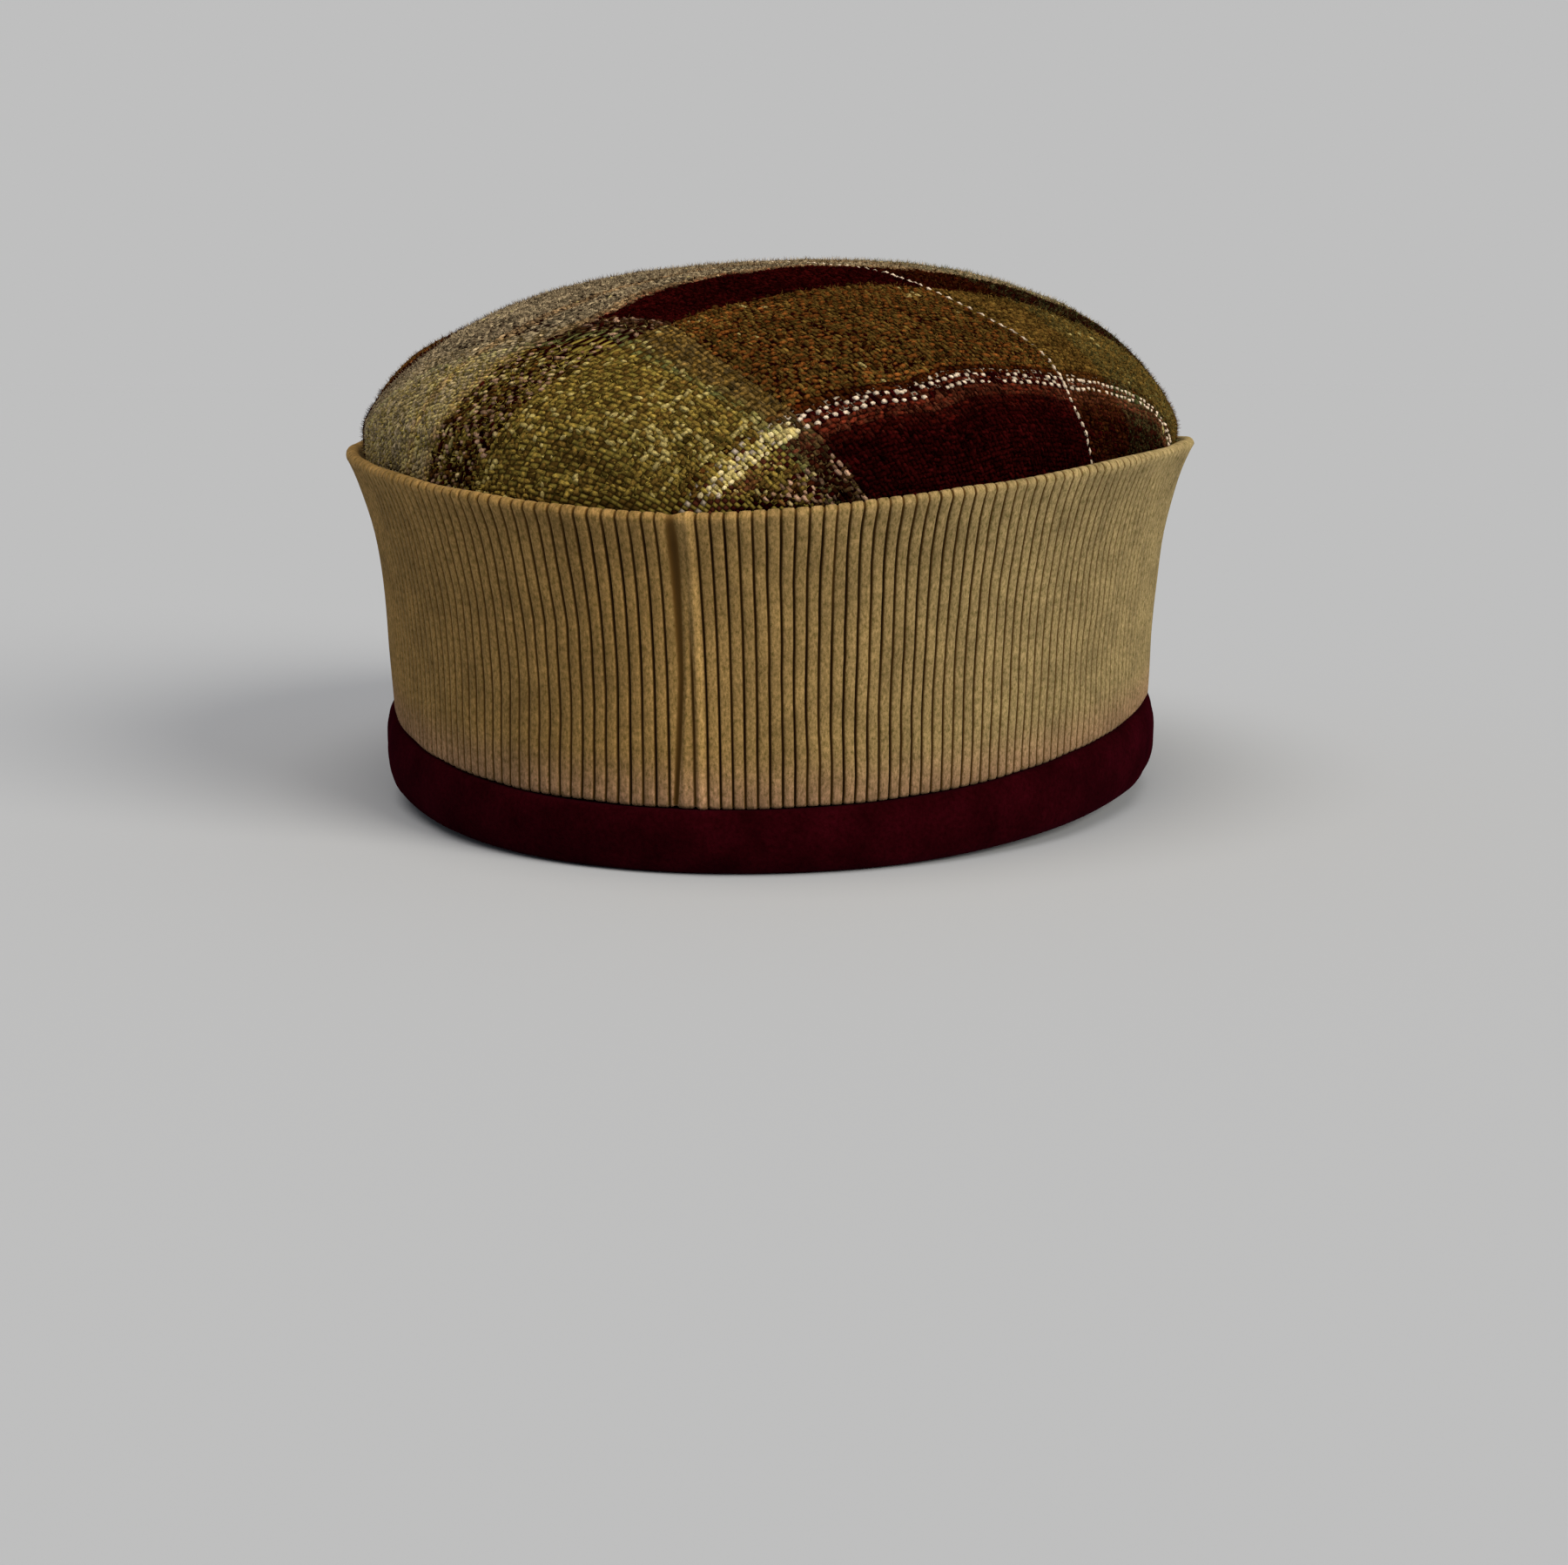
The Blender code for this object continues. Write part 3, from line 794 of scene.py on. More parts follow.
def chenille_material():
    """Chenille yarn: a cotton yarn with a short velvet pile all round it, matt, soft and a little uneven."""
    material, add = new_material("chenille_yarn")
    own = add("ShaderNodeAttribute", attribute_name="yarn_colour", attribute_type="GEOMETRY")
    spot = add("ShaderNodeTexCoord").outputs["Object"]
    fuzz = add("ShaderNodeTexNoise", {"Vector": spot, "Scale": 1700.0, "Detail": 3.0, "Roughness": 0.75})
    light = add("ShaderNodeMapRange", {"Value": fuzz.outputs[0], 1: 0.32, 2: 0.68, 3: 0.4, 4: 1.6})
    colour = add(
        "ShaderNodeMix",
        {"Factor": 1.0, 6: own.outputs["Color"], 7: light},
        data_type="RGBA",
        blend_type="MULTIPLY",
    ).outputs[2]
    bump = add("ShaderNodeBump", {"Strength": 0.8, "Distance": 0.0003, "Height": fuzz.outputs[0]})
    inputs = {"Base Color": colour, "Roughness": 0.95, "Normal": bump, "Specular IOR Level": 0.0}
    shader = add("ShaderNodeBsdfPrincipled", inputs)
    return finish_material(material, shader)


def stripe_ramp(add, place, stripes):
    """Colour of the yarns of one family at a place across the cloth, given in yarns from the middle."""
    pitch = looks().yarn_pitch
    share = add("ShaderNodeMath", {0: place, 1: pitch / MM / STRIPE_SPAN, 2: 0.5}, operation="MULTIPLY_ADD")
    ramp = add("ShaderNodeValToRGB", {"Fac": share})
    ramp.color_ramp.interpolation = "CONSTANT"
    while len(ramp.color_ramp.elements) > 1:
        ramp.color_ramp.elements.remove(ramp.color_ramp.elements[-1])
    for row, (start, yarn) in enumerate(stripes):
        at = start / STRIPE_SPAN + 0.5
        if row == 0:
            element = ramp.color_ramp.elements[0]
            element.position = at
        else:
            element = ramp.color_ramp.elements.new(at)
        element.color = linear(getattr(looks(), yarn))
    return ramp


def yarn_colour(add, number, along, stripes, seed):
    """One yarn's colour: its stripe's, lighter or darker as a whole, and mottled along its length."""
    middle = add("ShaderNodeMath", {0: number, 1: 0.5}, operation="ADD")
    ramp = stripe_ramp(add, middle, stripes)
    whole = add(
        "ShaderNodeTexWhiteNoise", {"W": add("ShaderNodeMath", {0: number, 1: seed})}, noise_dimensions="1D"
    )
    spread = add("ShaderNodeMath", {0: number, 1: 13.7}, operation="MULTIPLY")
    place = add("ShaderNodeCombineXYZ", {"X": spread, "Y": along, "Z": seed})
    slub = add("ShaderNodeTexNoise", {"Vector": place, "Scale": 0.45, "Detail": 3.0, "Roughness": 0.75})
    slub_light = add("ShaderNodeMapRange", {"Value": slub.outputs[0], 1: 0.3, 2: 0.72, 3: 0.45, 4: 1.65})
    whole_light = add("ShaderNodeMapRange", {"Value": whole.outputs[0], 3: 0.82, 4: 1.18})
    light = add("ShaderNodeMath", {0: slub_light, 1: whole_light}, operation="MULTIPLY")
    return add(
        "ShaderNodeMix", {"Factor": 1.0, 6: ramp, 7: light}, data_type="RGBA", blend_type="MULTIPLY"
    ).outputs[2]


def plaid_material():
    """Plaid of soft chenille yarns in plain weave.

    Chenille is a yarn with a short velvet pile, so the cloth is matt, fuzzy and speckled: each crossing
    shows the yarn that lies on top, with painted shade: lighter on its back and dark in the gaps round it.
    """
    material, add = new_material("chenille_plaid_weave")
    pitch = looks().yarn_pitch
    places = add("ShaderNodeAttribute", attribute_name="weave", attribute_type="GEOMETRY")
    spot = add("ShaderNodeTexCoord").outputs["Object"]
    sway = add("ShaderNodeTexNoise", {"Vector": spot, "Scale": 110.0, "Detail": 2.0})
    centred = add("ShaderNodeVectorMath", {0: sway.outputs[1], 1: (0.5, 0.5, 0.5)}, operation="SUBTRACT")
    swayed = add(
        "ShaderNodeVectorMath",
        {0: centred, 1: (0.0016, 0.0016, 0), 2: places.outputs["Vector"]},
        operation="MULTIPLY_ADD",
    )
    in_yarns = add("ShaderNodeVectorMath", {0: swayed, "Scale": 1 / pitch}, operation="SCALE")
    split = add("ShaderNodeSeparateXYZ", {0: in_yarns})
    falling, rising = split.outputs["X"], split.outputs["Y"]
    falling_number = add("ShaderNodeMath", {0: falling}, operation="FLOOR")
    rising_number = add("ShaderNodeMath", {0: rising}, operation="FLOOR")
    rising_colour = yarn_colour(add, rising_number, falling, RISING_STRIPES, 3.0)
    falling_colour = yarn_colour(add, falling_number, rising, FALLING_STRIPES, 8.0)

    both = add("ShaderNodeMath", {0: falling_number, 1: rising_number}, operation="ADD")
    checker = add("ShaderNodeMath", {0: both, 1: 2.0}, operation="FLOORED_MODULO")
    cell = add("ShaderNodeCombineXYZ", {"X": falling_number, "Y": rising_number})
    chance = add("ShaderNodeTexWhiteNoise", {"Vector": cell}, noise_dimensions="2D")
    flips = add("ShaderNodeMath", {0: chance.outputs[0], 1: 0.9}, operation="GREATER_THAN")
    flipped = add("ShaderNodeMath", {0: checker, 1: flips}, operation="SUBTRACT")
    over = add("ShaderNodeMath", {0: flipped}, operation="ABSOLUTE")

    squares = []
    for place in (falling, rising):
        part = add("ShaderNodeMath", {0: place}, operation="FRACT")
        away = add("ShaderNodeMath", {0: part, 1: 0.5}, operation="SUBTRACT")
        squares.append(add("ShaderNodeMath", {0: away, 1: away}, operation="MULTIPLY"))
    falling_square, rising_square = squares
    across = add("ShaderNodeMix", {"Factor": over, 2: falling_square, 3: rising_square}, data_type="FLOAT")
    along = add("ShaderNodeMix", {"Factor": over, 2: rising_square, 3: falling_square}, data_type="FLOAT")
    round_side = add("ShaderNodeMath", {0: across, 1: -3.4, 2: 1.0}, operation="MULTIPLY_ADD")
    arch = add("ShaderNodeMath", {0: along, 1: -2.2, 2: 1.0}, operation="MULTIPLY_ADD")
    hump = add("ShaderNodeMath", {0: round_side, 1: arch}, operation="MULTIPLY")

    fuzz = add("ShaderNodeTexNoise", {"Vector": spot, "Scale": 1500.0, "Detail": 2.0, "Roughness": 0.7})
    height = add("ShaderNodeMath", {0: fuzz.outputs[0], 1: 0.5, 2: hump}, operation="MULTIPLY_ADD")
    # Painted shade: the cloth under the raised yarns is darkened, most in the gaps between the crossings
    gap_shade = add("ShaderNodeMapRange", {"Value": height, 1: 0.3, 2: 1.15, 3: 0.1, 4: 0.6})
    yarn = add(
        "ShaderNodeMix", {"Factor": over, 6: falling_colour, 7: rising_colour}, data_type="RGBA"
    ).outputs[2]
    colour = add(
        "ShaderNodeMix", {"Factor": 1.0, 6: yarn, 7: gap_shade}, data_type="RGBA", blend_type="MULTIPLY"
    ).outputs[2]
    bump = add("ShaderNodeBump", {"Strength": 0.9, "Distance": 0.0004, "Height": height})
    inputs = {"Base Color": colour, "Roughness": 0.92, "Normal": bump, "Specular IOR Level": 0.0}
    shader = add("ShaderNodeBsdfPrincipled", inputs)
    return finish_material(material, shader)


# The corduroy cuff


def bell(across, middle, half_width, power=2.0):
    """1 at the middle, falling to nothing past the half width."""
    return np.exp(-(np.abs((across - middle * MM) / (half_width * MM)) ** power))


def seam_relief(across, up):
    """Relief of the centre-back seam at a distance right of its ridge and a share of the cuff's height.

    The seam is pressed open: a broad dent left of the ridge above, which narrows to a groove that leans away
    to the left below, and a second thin groove beside the ridge.
    """
    lower = 1 - np.clip((up - 0.45) / 0.3, 0, 1)
    place, wide, deep = (np.interp(up, (0.0, 0.45, 1.0), row) for row in SEAM_DENT)
    dent = -deep * bell(across, place, wide, 2.4)
    thin = -0.75 * bell(across, -1.5, 0.36) * lower
    between = 0.25 * bell(across, (place - 1.5) / 2, 0.6) * lower
    ridge = 0.45 * bell(across, -0.15, 0.75, 3.0)
    return (dent + thin + between + ridge) * MM


def make_cuff():
    """A loop of doubled corduroy with upright ribs that run over its folded rim."""
    s, look = sizes(), looks()
    _, length = loop_places(np.zeros(1), cuff_outer())
    wales = round(length / look.wale_pitch)
    pitch = length / wales
    plain = np.array([0.0, 0.06, 0.14, 0.32, 0.5, 0.68, 0.86, 0.94])
    fine = np.array([0.0, 0.06, 0.13, 0.22, 0.31, 0.4, 0.5, 0.6, 0.69, 0.78, 0.87, 0.94])
    phase = np.concatenate([k + (fine if k < 2 or k >= wales - 3 else plain) for k in range(wales)])
    around = phase * pitch + s.seam_place + 1.1 * MM
    signed = np.where(around > length / 2, around - length, around)
    seam = signed - s.seam_place
    clear = np.clip((np.abs(seam + 3.1 * MM) - 2.4 * MM) / (0.4 * MM), 0, 1)
    fold = s.cuff_wall / 2
    rows = []
    for up in np.concatenate([[0.0, 0.012], np.linspace(0.04, 0.9, 18), [0.94, 0.975, 1.0]]):
        tuck = 0.5 * MM if up == 0 else 0.0
        rib = 1 - 0.3 * np.clip((up - 0.9) / 0.1, 0, 1) if up > 0 else 0.5
        rows.append({"up": up, "side": fold - tuck, "lift": -fold * up**8, "rib": rib})
    for turn, rib in zip(np.radians([22, 45, 68, 90, 112, 135, 158]), (0.68, 0.64, 0.6, 0.56, 0.5, 0.4, 0.2)):
        lift = fold * (math.sin(turn) - 1)
        rows.append({"up": 1.0, "side": fold * math.cos(turn), "lift": lift, "rib": rib})
    for up in (1.0, 0.93, 0.8, 0.5, 0.0):
        rows.append({"up": up, "side": -fold, "lift": -fold * up**8, "rib": 0.0})
    points, cloth, ribs, relief = [], [], [], []
    for row in rows:
        up = row["up"]
        # The ribs lean beside the seam, wave to its left, waver a little and lie wider apart further left
        lean = -0.8 * MM * up * bell(signed, 0, 26)
        lean += 1.5 * MM * up * np.clip(-signed / (12 * MM), 0, 1) * bell(signed, 0, 60)
        wave = 0.55 * MM * math.sin(FULL_TURN * 0.9 * (up - 0.15)) * bell(signed, -45, 32)
        ring = np.stack([around, np.full_like(around, up * s.cuff_height), np.zeros_like(around)], axis=-1)
        wander = 0.32 * MM * smooth_noise(ring, 14 * MM, 3) + 0.14 * MM * smooth_noise(ring, 5 * MM, 7)
        spots = np.stack([phase * 0.9, np.full_like(phase, up * 3.0), np.zeros_like(phase)], axis=-1)
        uneven = 0.86 + 0.3 * smooth_noise(spots, 1.0, 8)
        wander *= np.clip((np.abs(signed) - 6 * MM) / (15 * MM), 0, 1)
        stretch = -6.0 * MM * np.sin(math.pi * np.clip(-signed / (150 * MM), 0, 1))
        angle, _ = loop_places(around + lean + wave + wander + stretch, cuff_outer())
        offset = cuff_inner() + fold + s.cuff_flare * flare_share(up) + row["side"]
        radius = offset_radius(offset, angle)
        height = wall_height(up, angle) + row["lift"]
        points.append(plan_points(radius, angle, height))
        cloth.append(np.stack([around, height - foot_height(angle), np.full_like(around, up)], axis=-1))
        ribs.append(row["rib"] * clear * uneven)
        relief.append(seam_relief(seam, up) * row["rib"])
    points = np.concatenate(points)
    piece = new_piece("cuff_base", points, grid_faces(len(rows), len(around), closed_rows=True))
    give_attribute(piece, "cloth", "FLOAT_VECTOR", np.concatenate(cloth))
    give_attribute(piece, "wale", "FLOAT", np.tile(phase, len(rows)))
    give_attribute(piece, "rib_share", "FLOAT", np.concatenate(ribs))
    give_attribute(piece, "relief", "FLOAT", np.concatenate(relief))
    give_attribute(piece, "soft", "FLOAT", 0.30 * MM * smooth_noise(points, 13 * MM, 4))
    values = {"Depth": look.wale_depth, "Groove Start": 0.7, "Material": corduroy_material()}
    return grown_mesh(piece, rib_tree(), values, "cuff_corduroy")


def rib_tree():
    """Raises flat-topped ribs with narrow grooves between them, by the wale attribute."""
    named = [("Depth", "NodeSocketFloat"), ("Groove Start", "NodeSocketFloat")]
    named.append(("Material", "NodeSocketMaterial"))
    tree, start, end = geometry_tree("corduroy_ribs", named)
    add = partial(add_node, tree)
    wale, share, relief, soft = (
        add("GeometryNodeInputNamedAttribute", {"Name": name}, data_type="FLOAT")
        for name in ("wale", "rib_share", "relief", "soft")
    )
    part = add("ShaderNodeMath", {0: wale}, operation="FRACT")
    centred = add("ShaderNodeMath", {0: part, 1: 2.0, 2: -1.0}, operation="MULTIPLY_ADD")
    away = add("ShaderNodeMath", {0: centred}, operation="ABSOLUTE")
    wall = add(
        "ShaderNodeMapRange",
        {"Value": away, 1: start.outputs["Groove Start"], 2: 0.97, 3: 0.0, 4: 0.8},
        interpolation_type="SMOOTHSTEP",
    )
    crown = add("ShaderNodeMath", {0: away, 1: 2.0}, operation="POWER")
    round_top = add("ShaderNodeMath", {0: crown, 1: 0.2, 2: wall}, operation="MULTIPLY_ADD")
    deep = add("ShaderNodeMath", {0: round_top, 1: share}, operation="MULTIPLY")
    sunk = add("ShaderNodeMath", {0: deep, 1: start.outputs["Depth"]}, operation="MULTIPLY")
    raised = add("ShaderNodeMath", {0: relief, 1: sunk}, operation="SUBTRACT")
    lifted = add("ShaderNodeMath", {0: raised, 1: soft}, operation="ADD")
    normal = add("GeometryNodeInputNormal")
    push = add("ShaderNodeVectorMath", {0: normal, "Scale": lifted}, operation="SCALE")
    marked = add(
        "GeometryNodeStoreNamedAttribute",
        {"Geometry": start.outputs["Geometry"], "Name": "groove", "Value": deep},
        data_type="FLOAT",
        domain="POINT",
    )
    moved = add("GeometryNodeSetPosition", {"Geometry": marked, "Offset": push})
    finish_tree(tree, end, moved, start.outputs["Material"])
    return tree


def corduroy_material():
    """Cotton corduroy: a cut pile that stands in ribs, soft and a little shiny along their crests.

    The pile is painted lighter towards the cap's right side, where the key light falls, and along
    the rim and the seam's ridge. The ground cloth shows dark between the ribs, deepened with painted
    shade on the ribs' sides and in the grooves, and the lower edge takes a painted pinkish reflection
    of the fleece.
    """
    material, add = new_material("cotton_corduroy")
    look = looks()
    spot = add("ShaderNodeTexCoord").outputs["Object"]
    groove, relief, cloth = (
        add("ShaderNodeAttribute", attribute_name=name, attribute_type="GEOMETRY")
        for name in ("groove", "relief", "cloth")
    )
    raised = relief.outputs["Fac"]
    split = add("ShaderNodeSeparateXYZ", {0: cloth.outputs["Vector"]})
    # Painted reflection of the fleece: a pinkish tint at the cuff's foot, gone 12 mm up
    foot = add(
        "ShaderNodeMapRange", {"Value": split.outputs["Y"], 1: 0.0, 2: 0.012, 3: 0.75, 4: 0.0},
        interpolation_type="SMOOTHSTEP",
    )
    stretched = add("ShaderNodeMapping", {"Vector": cloth.outputs["Vector"], "Scale": (1.0, 0.45, 0.0)})
    nap = add("ShaderNodeTexNoise", {"Vector": stretched, "Scale": 1900.0, "Detail": 4.0, "Roughness": 0.8})
    blotch = add("ShaderNodeTexNoise", {"Vector": spot, "Scale": 110.0, "Detail": 4.0, "Roughness": 0.7})
    nap_share = add("ShaderNodeMapRange", {"Value": nap.outputs[0], 1: 0.33, 2: 0.67})
    nap_tint = add(
        "ShaderNodeMix",
        {"Factor": nap_share, 6: (0.42, 0.45, 0.30, 1.0), 7: (1.68, 1.60, 1.85, 1.0)},
        data_type="RGBA",
    ).outputs[2]
    blotch_light = add("ShaderNodeMapRange", {"Value": blotch.outputs[0], 1: 0.3, 2: 0.7, 3: 0.72, 4: 1.26})
    # Painted highlights: lighter along the folded rim and on the seam's raised ridge
    rim_highlight = add("ShaderNodeMapRange", {"Value": split.outputs["Z"], 1: 0.95, 2: 1.0, 3: 1.0, 4: 1.18})
    ridge_highlight = add("ShaderNodeMapRange", {"Value": raised, 1: 0.0001, 2: 0.0004, 3: 1.0, 4: 1.5})
    edge_highlights = add("ShaderNodeMath", {0: rim_highlight, 1: ridge_highlight}, operation="MULTIPLY")
    highlights_and_blotches = add("ShaderNodeMath", {0: edge_highlights, 1: blotch_light}, operation="MULTIPLY")
    light = add(
        "ShaderNodeMix", {"Factor": 1.0, 6: nap_tint, 7: highlights_and_blotches}, data_type="RGBA", blend_type="MULTIPLY"
    ).outputs[2]
    # Painted highlight: the pile turns lighter towards the cap's right side, where the key light falls
    side_place = add("ShaderNodeSeparateXYZ", {0: spot}).outputs["X"]
    lit_side_pile = add(
        "ShaderNodeMapRange", {"Value": side_place, 1: -0.02, 2: 0.095}, interpolation_type="SMOOTHSTEP"
    )
    pile = linear(look.pile)
    for share, tint in ((lit_side_pile, look.lit_side_pile), (foot, look.foot_reflection)):
        blend = add("ShaderNodeMix", {"Factor": share, 6: pile, 7: linear(tint)}, data_type="RGBA")
        pile = blend.outputs[2]
    colour = add(
        "ShaderNodeMix", {"Factor": 1.0, 6: pile, 7: light}, data_type="RGBA", blend_type="MULTIPLY"
    ).outputs[2]
    # Painted shade darkens the ribs' sides and the grooves, where the ground cloth is also darker,
    # and the dent beside the seam is dark too, though less than a groove
    sunk = add("ShaderNodeMapRange", {"Value": raised, 1: -0.0001, 2: -0.0008, 3: 0.0, 4: 0.6})
    deep = add("ShaderNodeMath", {0: groove.outputs["Fac"], 1: sunk}, operation="MAXIMUM")
    side = add("ShaderNodeMapRange", {"Value": deep, 1: 0.08, 2: 0.45}, interpolation_type="SMOOTHSTEP")
    bottom = add("ShaderNodeMapRange", {"Value": deep, 1: 0.4, 2: 0.85})
    for share, tint in ((side, look.flank_shade), (bottom, look.groove)):
        blend = add("ShaderNodeMix", {"Factor": share, 6: colour, 7: linear(tint)}, data_type="RGBA")
        colour = blend.outputs[2]
    bump = add("ShaderNodeBump", {"Strength": 0.5, "Distance": 0.0002, "Height": nap.outputs[0]})
    inputs = {"Base Color": colour, "Roughness": 0.85, "Normal": bump, "Specular IOR Level": 0.05}
    inputs |= {"Sheen Weight": 0.10, "Sheen Roughness": 0.4, "Sheen Tint": linear("#d8c89a")}
    shader = add("ShaderNodeBsdfPrincipled", inputs)
    return finish_material(material, shader)


# The fleece headband


def smooth_section(knots, per_span):
    """Points of a closed smooth line through the knots, which are arrays of reach and height."""
    count = len(knots)
    points = []
    for k in range(count):
        before, here, there, after = (knots[(k + i) % count] for i in (-1, 0, 1, 2))
        for step in range(per_span):
            t = step / per_span
            bend = 2 * here - 2 * there + (there - before + after - here) / 2
            turn = -3 * here + 3 * there - (there - before) - (after - here) / 2
            points.append(here + t * (there - before) / 2 + t * t * turn + t**3 * bend)
    return points


def make_headband():
    """A padded roll of fleece with a flat strip underneath."""
    s = sizes()
    angle, _ = loop_places(np.arange(440) / 440 * loop_places(np.zeros(1), s.band_reach)[1], s.band_reach)
    low, foot = underside_height(angle), foot_height(angle)
    top = foot - s.clearance
    section = [(s.band_reach * reach, low + (foot - low) * share) for reach, share in BAND_OUTER_SIDE]
    section += [(cuff_outer() - s.band_shoulder, top), (s.band_inset + s.band_shoulder, top)]
    section += [(s.band_reach * reach, low + (foot - low) * share) for reach, share in BAND_INNER_SIDE]
    knots = [np.stack([np.full_like(angle, reach), height]) for reach, height in section]
    points = []
    for reach, height in smooth_section(knots, 4):
        radius = offset_radius(reach, angle)
        height = np.maximum(np.minimum(height, top), low)
        points.append(plan_points(radius, angle, height))
    rows = len(points)
    points = np.concatenate(points)
    piece = new_piece("headband_fleece", points, grid_faces(rows, len(angle), closed_rows=True))
    normals = vertex_normals(piece.data)
    side = np.clip((points[:, 2] - 1.5 * MM) / (2.5 * MM), 0, 1)
    side *= np.clip((1.0 - np.abs(normals[:, 2])) * 2.0, 0, 1)
    lumps = 0.45 * MM * smooth_noise(points, 16 * MM, 5) + 0.15 * MM * smooth_noise(points, 5 * MM, 6)
    points = points + normals * (side * lumps)[:, None]
    piece.data.vertices.foreach_set("co", points.astype(np.float32).ravel())
    piece.data.update()
    piece.data.materials.append(fleece_material())
    return piece


def fleece_material():
    """Brushed polyester fleece: a short matt pile that swallows light and shows a soft sheen at its edges."""
    material, add = new_material("brushed_fleece")
    spot = add("ShaderNodeTexCoord").outputs["Object"]
    tufts = add("ShaderNodeTexNoise", {"Vector": spot, "Scale": 1100.0, "Detail": 3.0, "Roughness": 0.7})
    patches = add("ShaderNodeTexNoise", {"Vector": spot, "Scale": 110.0, "Detail": 3.0})
    mixed = add("ShaderNodeMath", {0: tufts.outputs[0], 1: patches.outputs[0]}, operation="MULTIPLY")
    share = add("ShaderNodeMapRange", {"Value": mixed, 1: 0.08, 2: 0.46})
    colour = add(
        "ShaderNodeMix",
        {"Factor": share, 6: linear(looks().fleece), 7: linear(looks().fleece_light)},
        data_type="RGBA",
    ).outputs[2]
    bump = add("ShaderNodeBump", {"Strength": 0.7, "Distance": 0.0003, "Height": tufts.outputs[0]})
    inputs = {"Base Color": colour, "Roughness": 0.95, "Normal": bump, "Specular IOR Level": 0.0}
    inputs |= {"Sheen Weight": 0.06, "Sheen Roughness": 0.5, "Sheen Tint": linear("#7a3050")}
    shader = add("ShaderNodeBsdfPrincipled", inputs)
    return finish_material(material, shader)


# The stage


def look_matrix(turn, rise):
    """Directions right, up and back of a thing that looks at the cap from this turn and rise in degrees."""
    turn, rise = math.radians(turn), math.radians(rise)
    back = Vector((math.sin(turn) * math.cos(rise), -math.cos(turn) * math.cos(rise), math.sin(rise)))
    right = Vector((math.cos(turn), math.sin(turn), 0))
    return right, back.cross(right), back


def make_camera():
    stage = bpy.context.scene.cap_stage
    right, up, back = look_matrix(stage.camera_turn, stage.camera_rise)
    place = back * stage.camera_away + right * stage.camera_right + up * stage.camera_up
    data = bpy.data.cameras.new("camera")
    data.sensor_width = stage.sensor_width
    data.lens = stage.focal_pixels * stage.sensor_width / PHOTO_WIDTH
    data.clip_start = 0.01
    camera = bpy.data.objects.new("camera", data)
    camera.matrix_world = Matrix((right, up, back)).transposed().to_4x4()
    camera.location = place + Vector((0, 0, stage.aim_height))
    bpy.context.scene.collection.objects.link(camera)
    bpy.context.scene.camera = camera


def make_lights():
    """Distant lights, and a pale room as bright as the lit floor, so that the floor has no visible end."""
    for row in LIGHTS:
        right, up, back = look_matrix(row["turn"], row["rise"])
        data = bpy.data.lights.new(row["name"], "SUN")
        data.angle = math.radians(row["wide"])
        data.energy = row["strength"]
        data.color = linear(row["colour"])[:3]
        light = bpy.data.objects.new(row["name"], data)
        light.matrix_world = Matrix((right, up, back)).transposed().to_4x4()
        bpy.context.scene.collection.objects.link(light)
    stage = bpy.context.scene.cap_stage
    world = bpy.data.worlds.new("pale_room")
    world.use_nodes = True
    tree = world.node_tree
    path = add_node(tree, "ShaderNodeLightPath")
    strength = add_node(
        tree, "ShaderNodeMapRange", {"Value": path.outputs["Is Camera Ray"], 3: stage.room_light, 4: 1.0}
    )
    background = tree.nodes["Background"]
    background.inputs["Color"].default_value = linear(stage.backdrop)
    tree.links.new(strength.outputs[0], background.inputs["Strength"])
    bpy.context.scene.world = world


def floor_colour():
    """The paper's own colour that shows as the backdrop's under the room and the distant lights."""
    stage = bpy.context.scene.cap_stage
    room = linear(stage.backdrop)
    paper = []
    for channel in range(3):
        sun = 0.0
        for row in LIGHTS:
            slope = math.sin(math.radians(row["rise"]))
            sun += row["strength"] * slope * linear(row["colour"])[channel] / math.pi
        paper.append(room[channel] / (room[channel] * stage.room_light + sun))
    return paper + [1.0]


def make_floor():
    """A wide round floor of plain paper, just under the cap."""
    radius, columns = bpy.context.scene.cap_stage.floor_radius, 64
    points = [(0.0, 0.0, -0.2 * MM)]
    for i in range(columns):
        turn = FULL_TURN * i / columns
        points.append((radius * math.cos(turn), radius * math.sin(turn), -0.2 * MM))
    floor = new_piece("stage_floor", points, [(0, 1 + i, 1 + (i + 1) % columns) for i in range(columns)])
    material, add = new_material("matt_backdrop_paper")
    shader = add("ShaderNodeBsdfDiffuse", {"Color": floor_colour(), "Roughness": 0.0})
    floor.data.materials.append(finish_material(material, shader))


# Operators and panel


class CAP_OT_crown(bpy.types.Operator):
    """Makes the plaid cloth of the crown"""

    bl_idname = "cap.crown"
    bl_label = "Crown Cloth"

    def execute(self, context):
        piece = make_crown_cloth()
        piece.data.materials.append(plaid_material())
        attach(piece, "root")
        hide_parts("crown")
        return {"FINISHED"}


class CAP_OT_yarns(bpy.types.Operator):
    """Makes the raised yarns of the plaid"""

    bl_idname = "cap.yarns"
    bl_label = "Plaid Yarns"

    def execute(self, context):
        tree, material = mound_tree(), chenille_material()
        pieces = [make_yarns(family, tree, material) for family in ("rising", "falling")]
        for piece in (*pieces, make_fuzz(tree, material)):
            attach(piece, "root")
        return {"FINISHED"}


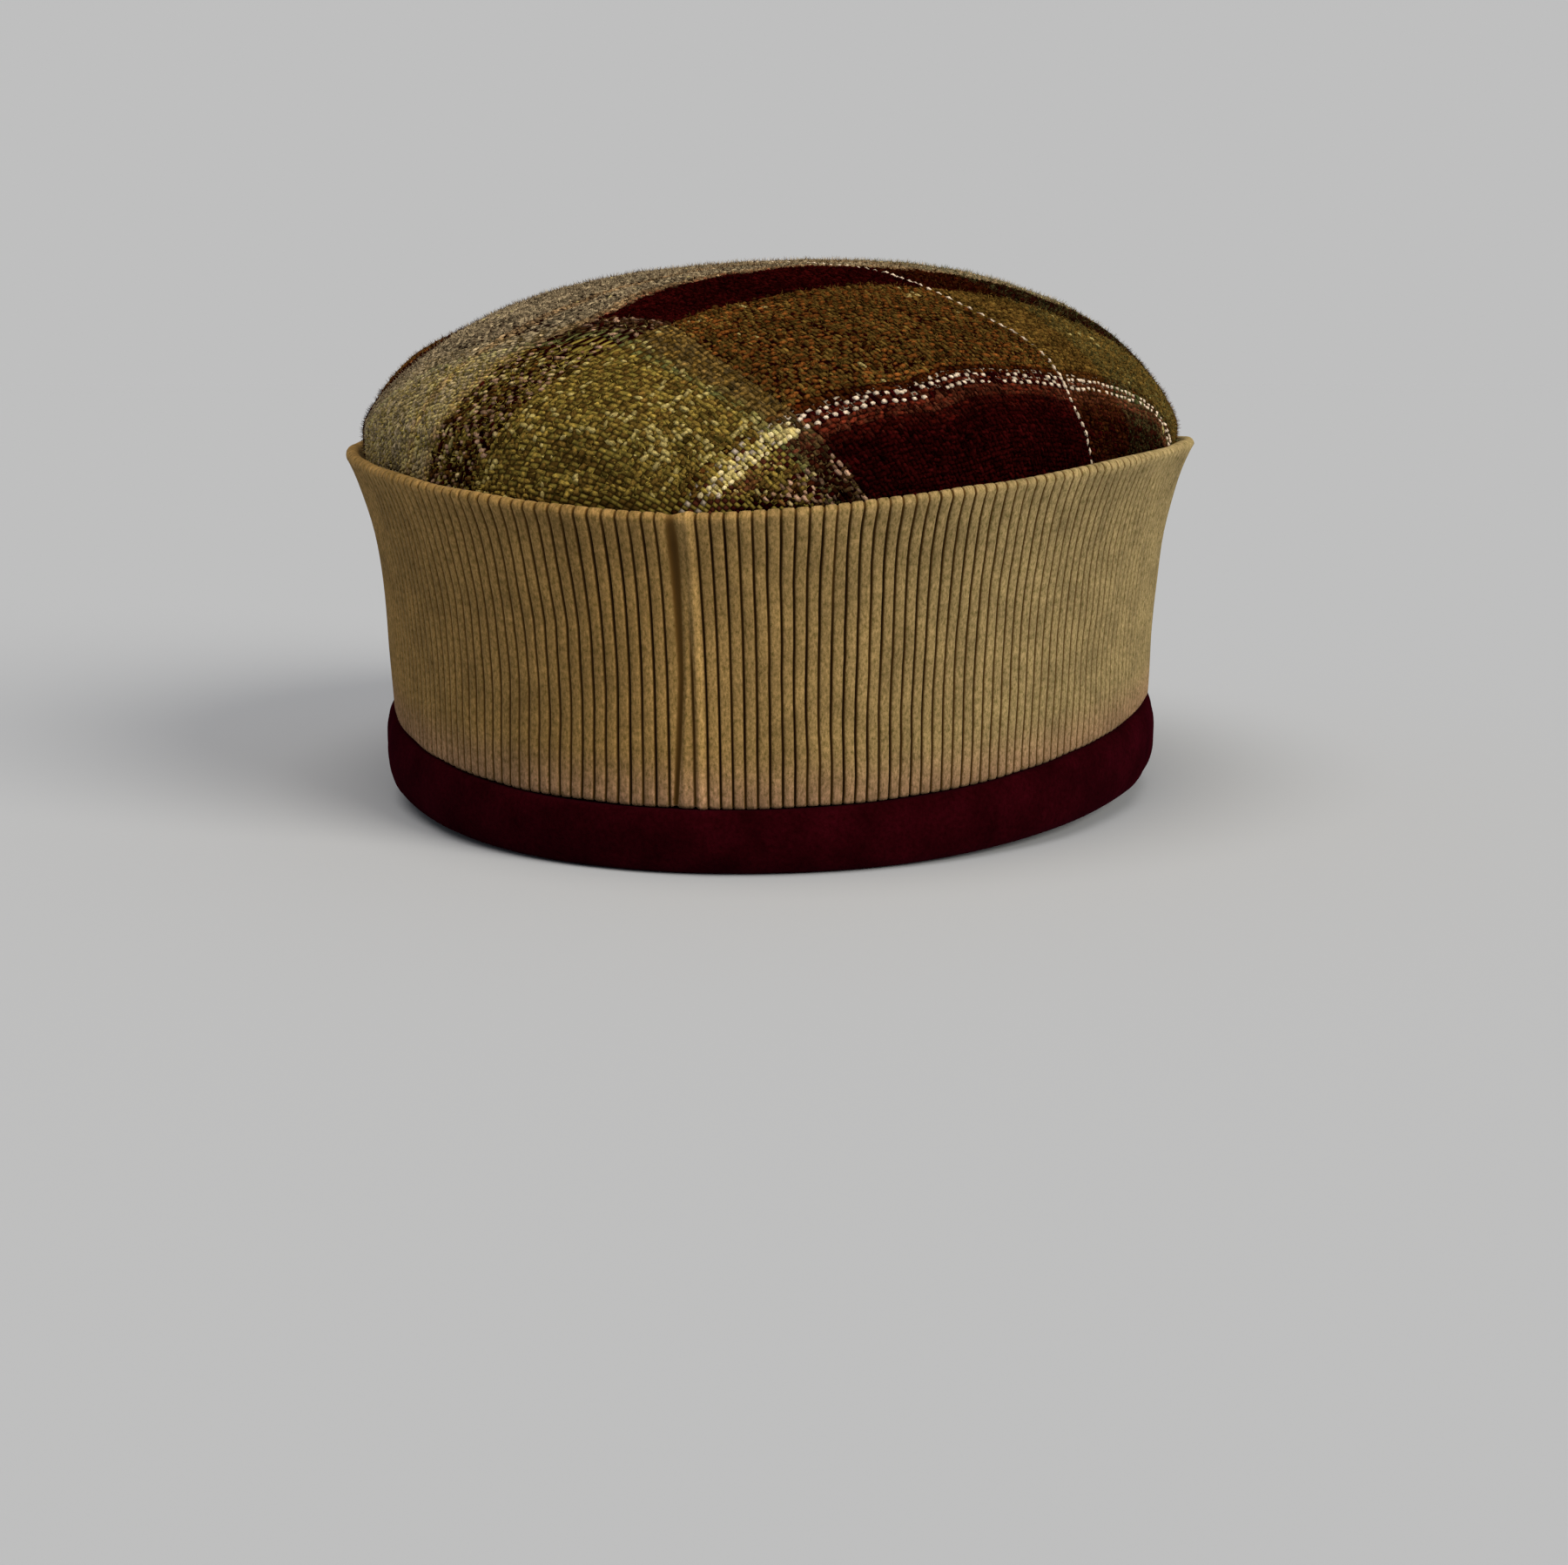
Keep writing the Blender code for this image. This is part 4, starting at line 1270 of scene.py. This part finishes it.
class CAP_OT_cuff(bpy.types.Operator):
    """Makes the corduroy cuff"""

    bl_idname = "cap.cuff"
    bl_label = "Corduroy Cuff"

    def execute(self, context):
        piece = make_cuff()
        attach(piece, "root")
        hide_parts("cuff")
        return {"FINISHED"}


class CAP_OT_headband(bpy.types.Operator):
    """Makes the padded fleece headband"""

    bl_idname = "cap.headband"
    bl_label = "Fleece Headband"

    def execute(self, context):
        piece = make_headband()
        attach(piece, "root")
        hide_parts("headband")
        return {"FINISHED"}


class CAP_OT_stage(bpy.types.Operator):
    """Makes the floor, the lights and the camera"""

    bl_idname = "cap.stage"
    bl_label = "Stage"

    def execute(self, context):
        make_floor()
        make_lights()
        make_camera()
        context.scene.view_settings.view_transform = "Standard"
        return {"FINISHED"}


class CAP_PT_panel(bpy.types.Panel):
    """Lists the cap's pieces and sizes"""

    bl_idname = "CAP_PT_panel"
    bl_label = "Smoking Cap"
    bl_space_type = "VIEW_3D"
    bl_region_type = "UI"
    bl_category = "Cap"

    def draw(self, context):
        for operator in OPERATORS:
            self.layout.operator(operator.bl_idname)
        for group in (context.scene.cap_sizes, context.scene.cap_looks, context.scene.cap_stage):
            box = self.layout.box()
            for name in group.__annotations__:
                box.prop(group, name)


OPERATORS = (CAP_OT_crown, CAP_OT_yarns, CAP_OT_cuff, CAP_OT_headband, CAP_OT_stage)
CLASSES = (CapSizes, CapLooks, CapStage, *OPERATORS, CAP_PT_panel)


def register():
    for cls in CLASSES:
        bpy.utils.register_class(cls)
    bpy.types.Scene.cap_sizes = PointerProperty(type=CapSizes)
    bpy.types.Scene.cap_looks = PointerProperty(type=CapLooks)
    bpy.types.Scene.cap_stage = PointerProperty(type=CapStage)


def unregister():
    del bpy.types.Scene.cap_stage
    del bpy.types.Scene.cap_looks
    del bpy.types.Scene.cap_sizes
    for cls in reversed(CLASSES):
        bpy.utils.unregister_class(cls)


def main():
    register()
    bpy.ops.cap.stage()
    bpy.ops.cap.crown()
    bpy.ops.cap.yarns()
    bpy.ops.cap.cuff()
    bpy.ops.cap.headband()


if __name__ == "__main__":
    main()
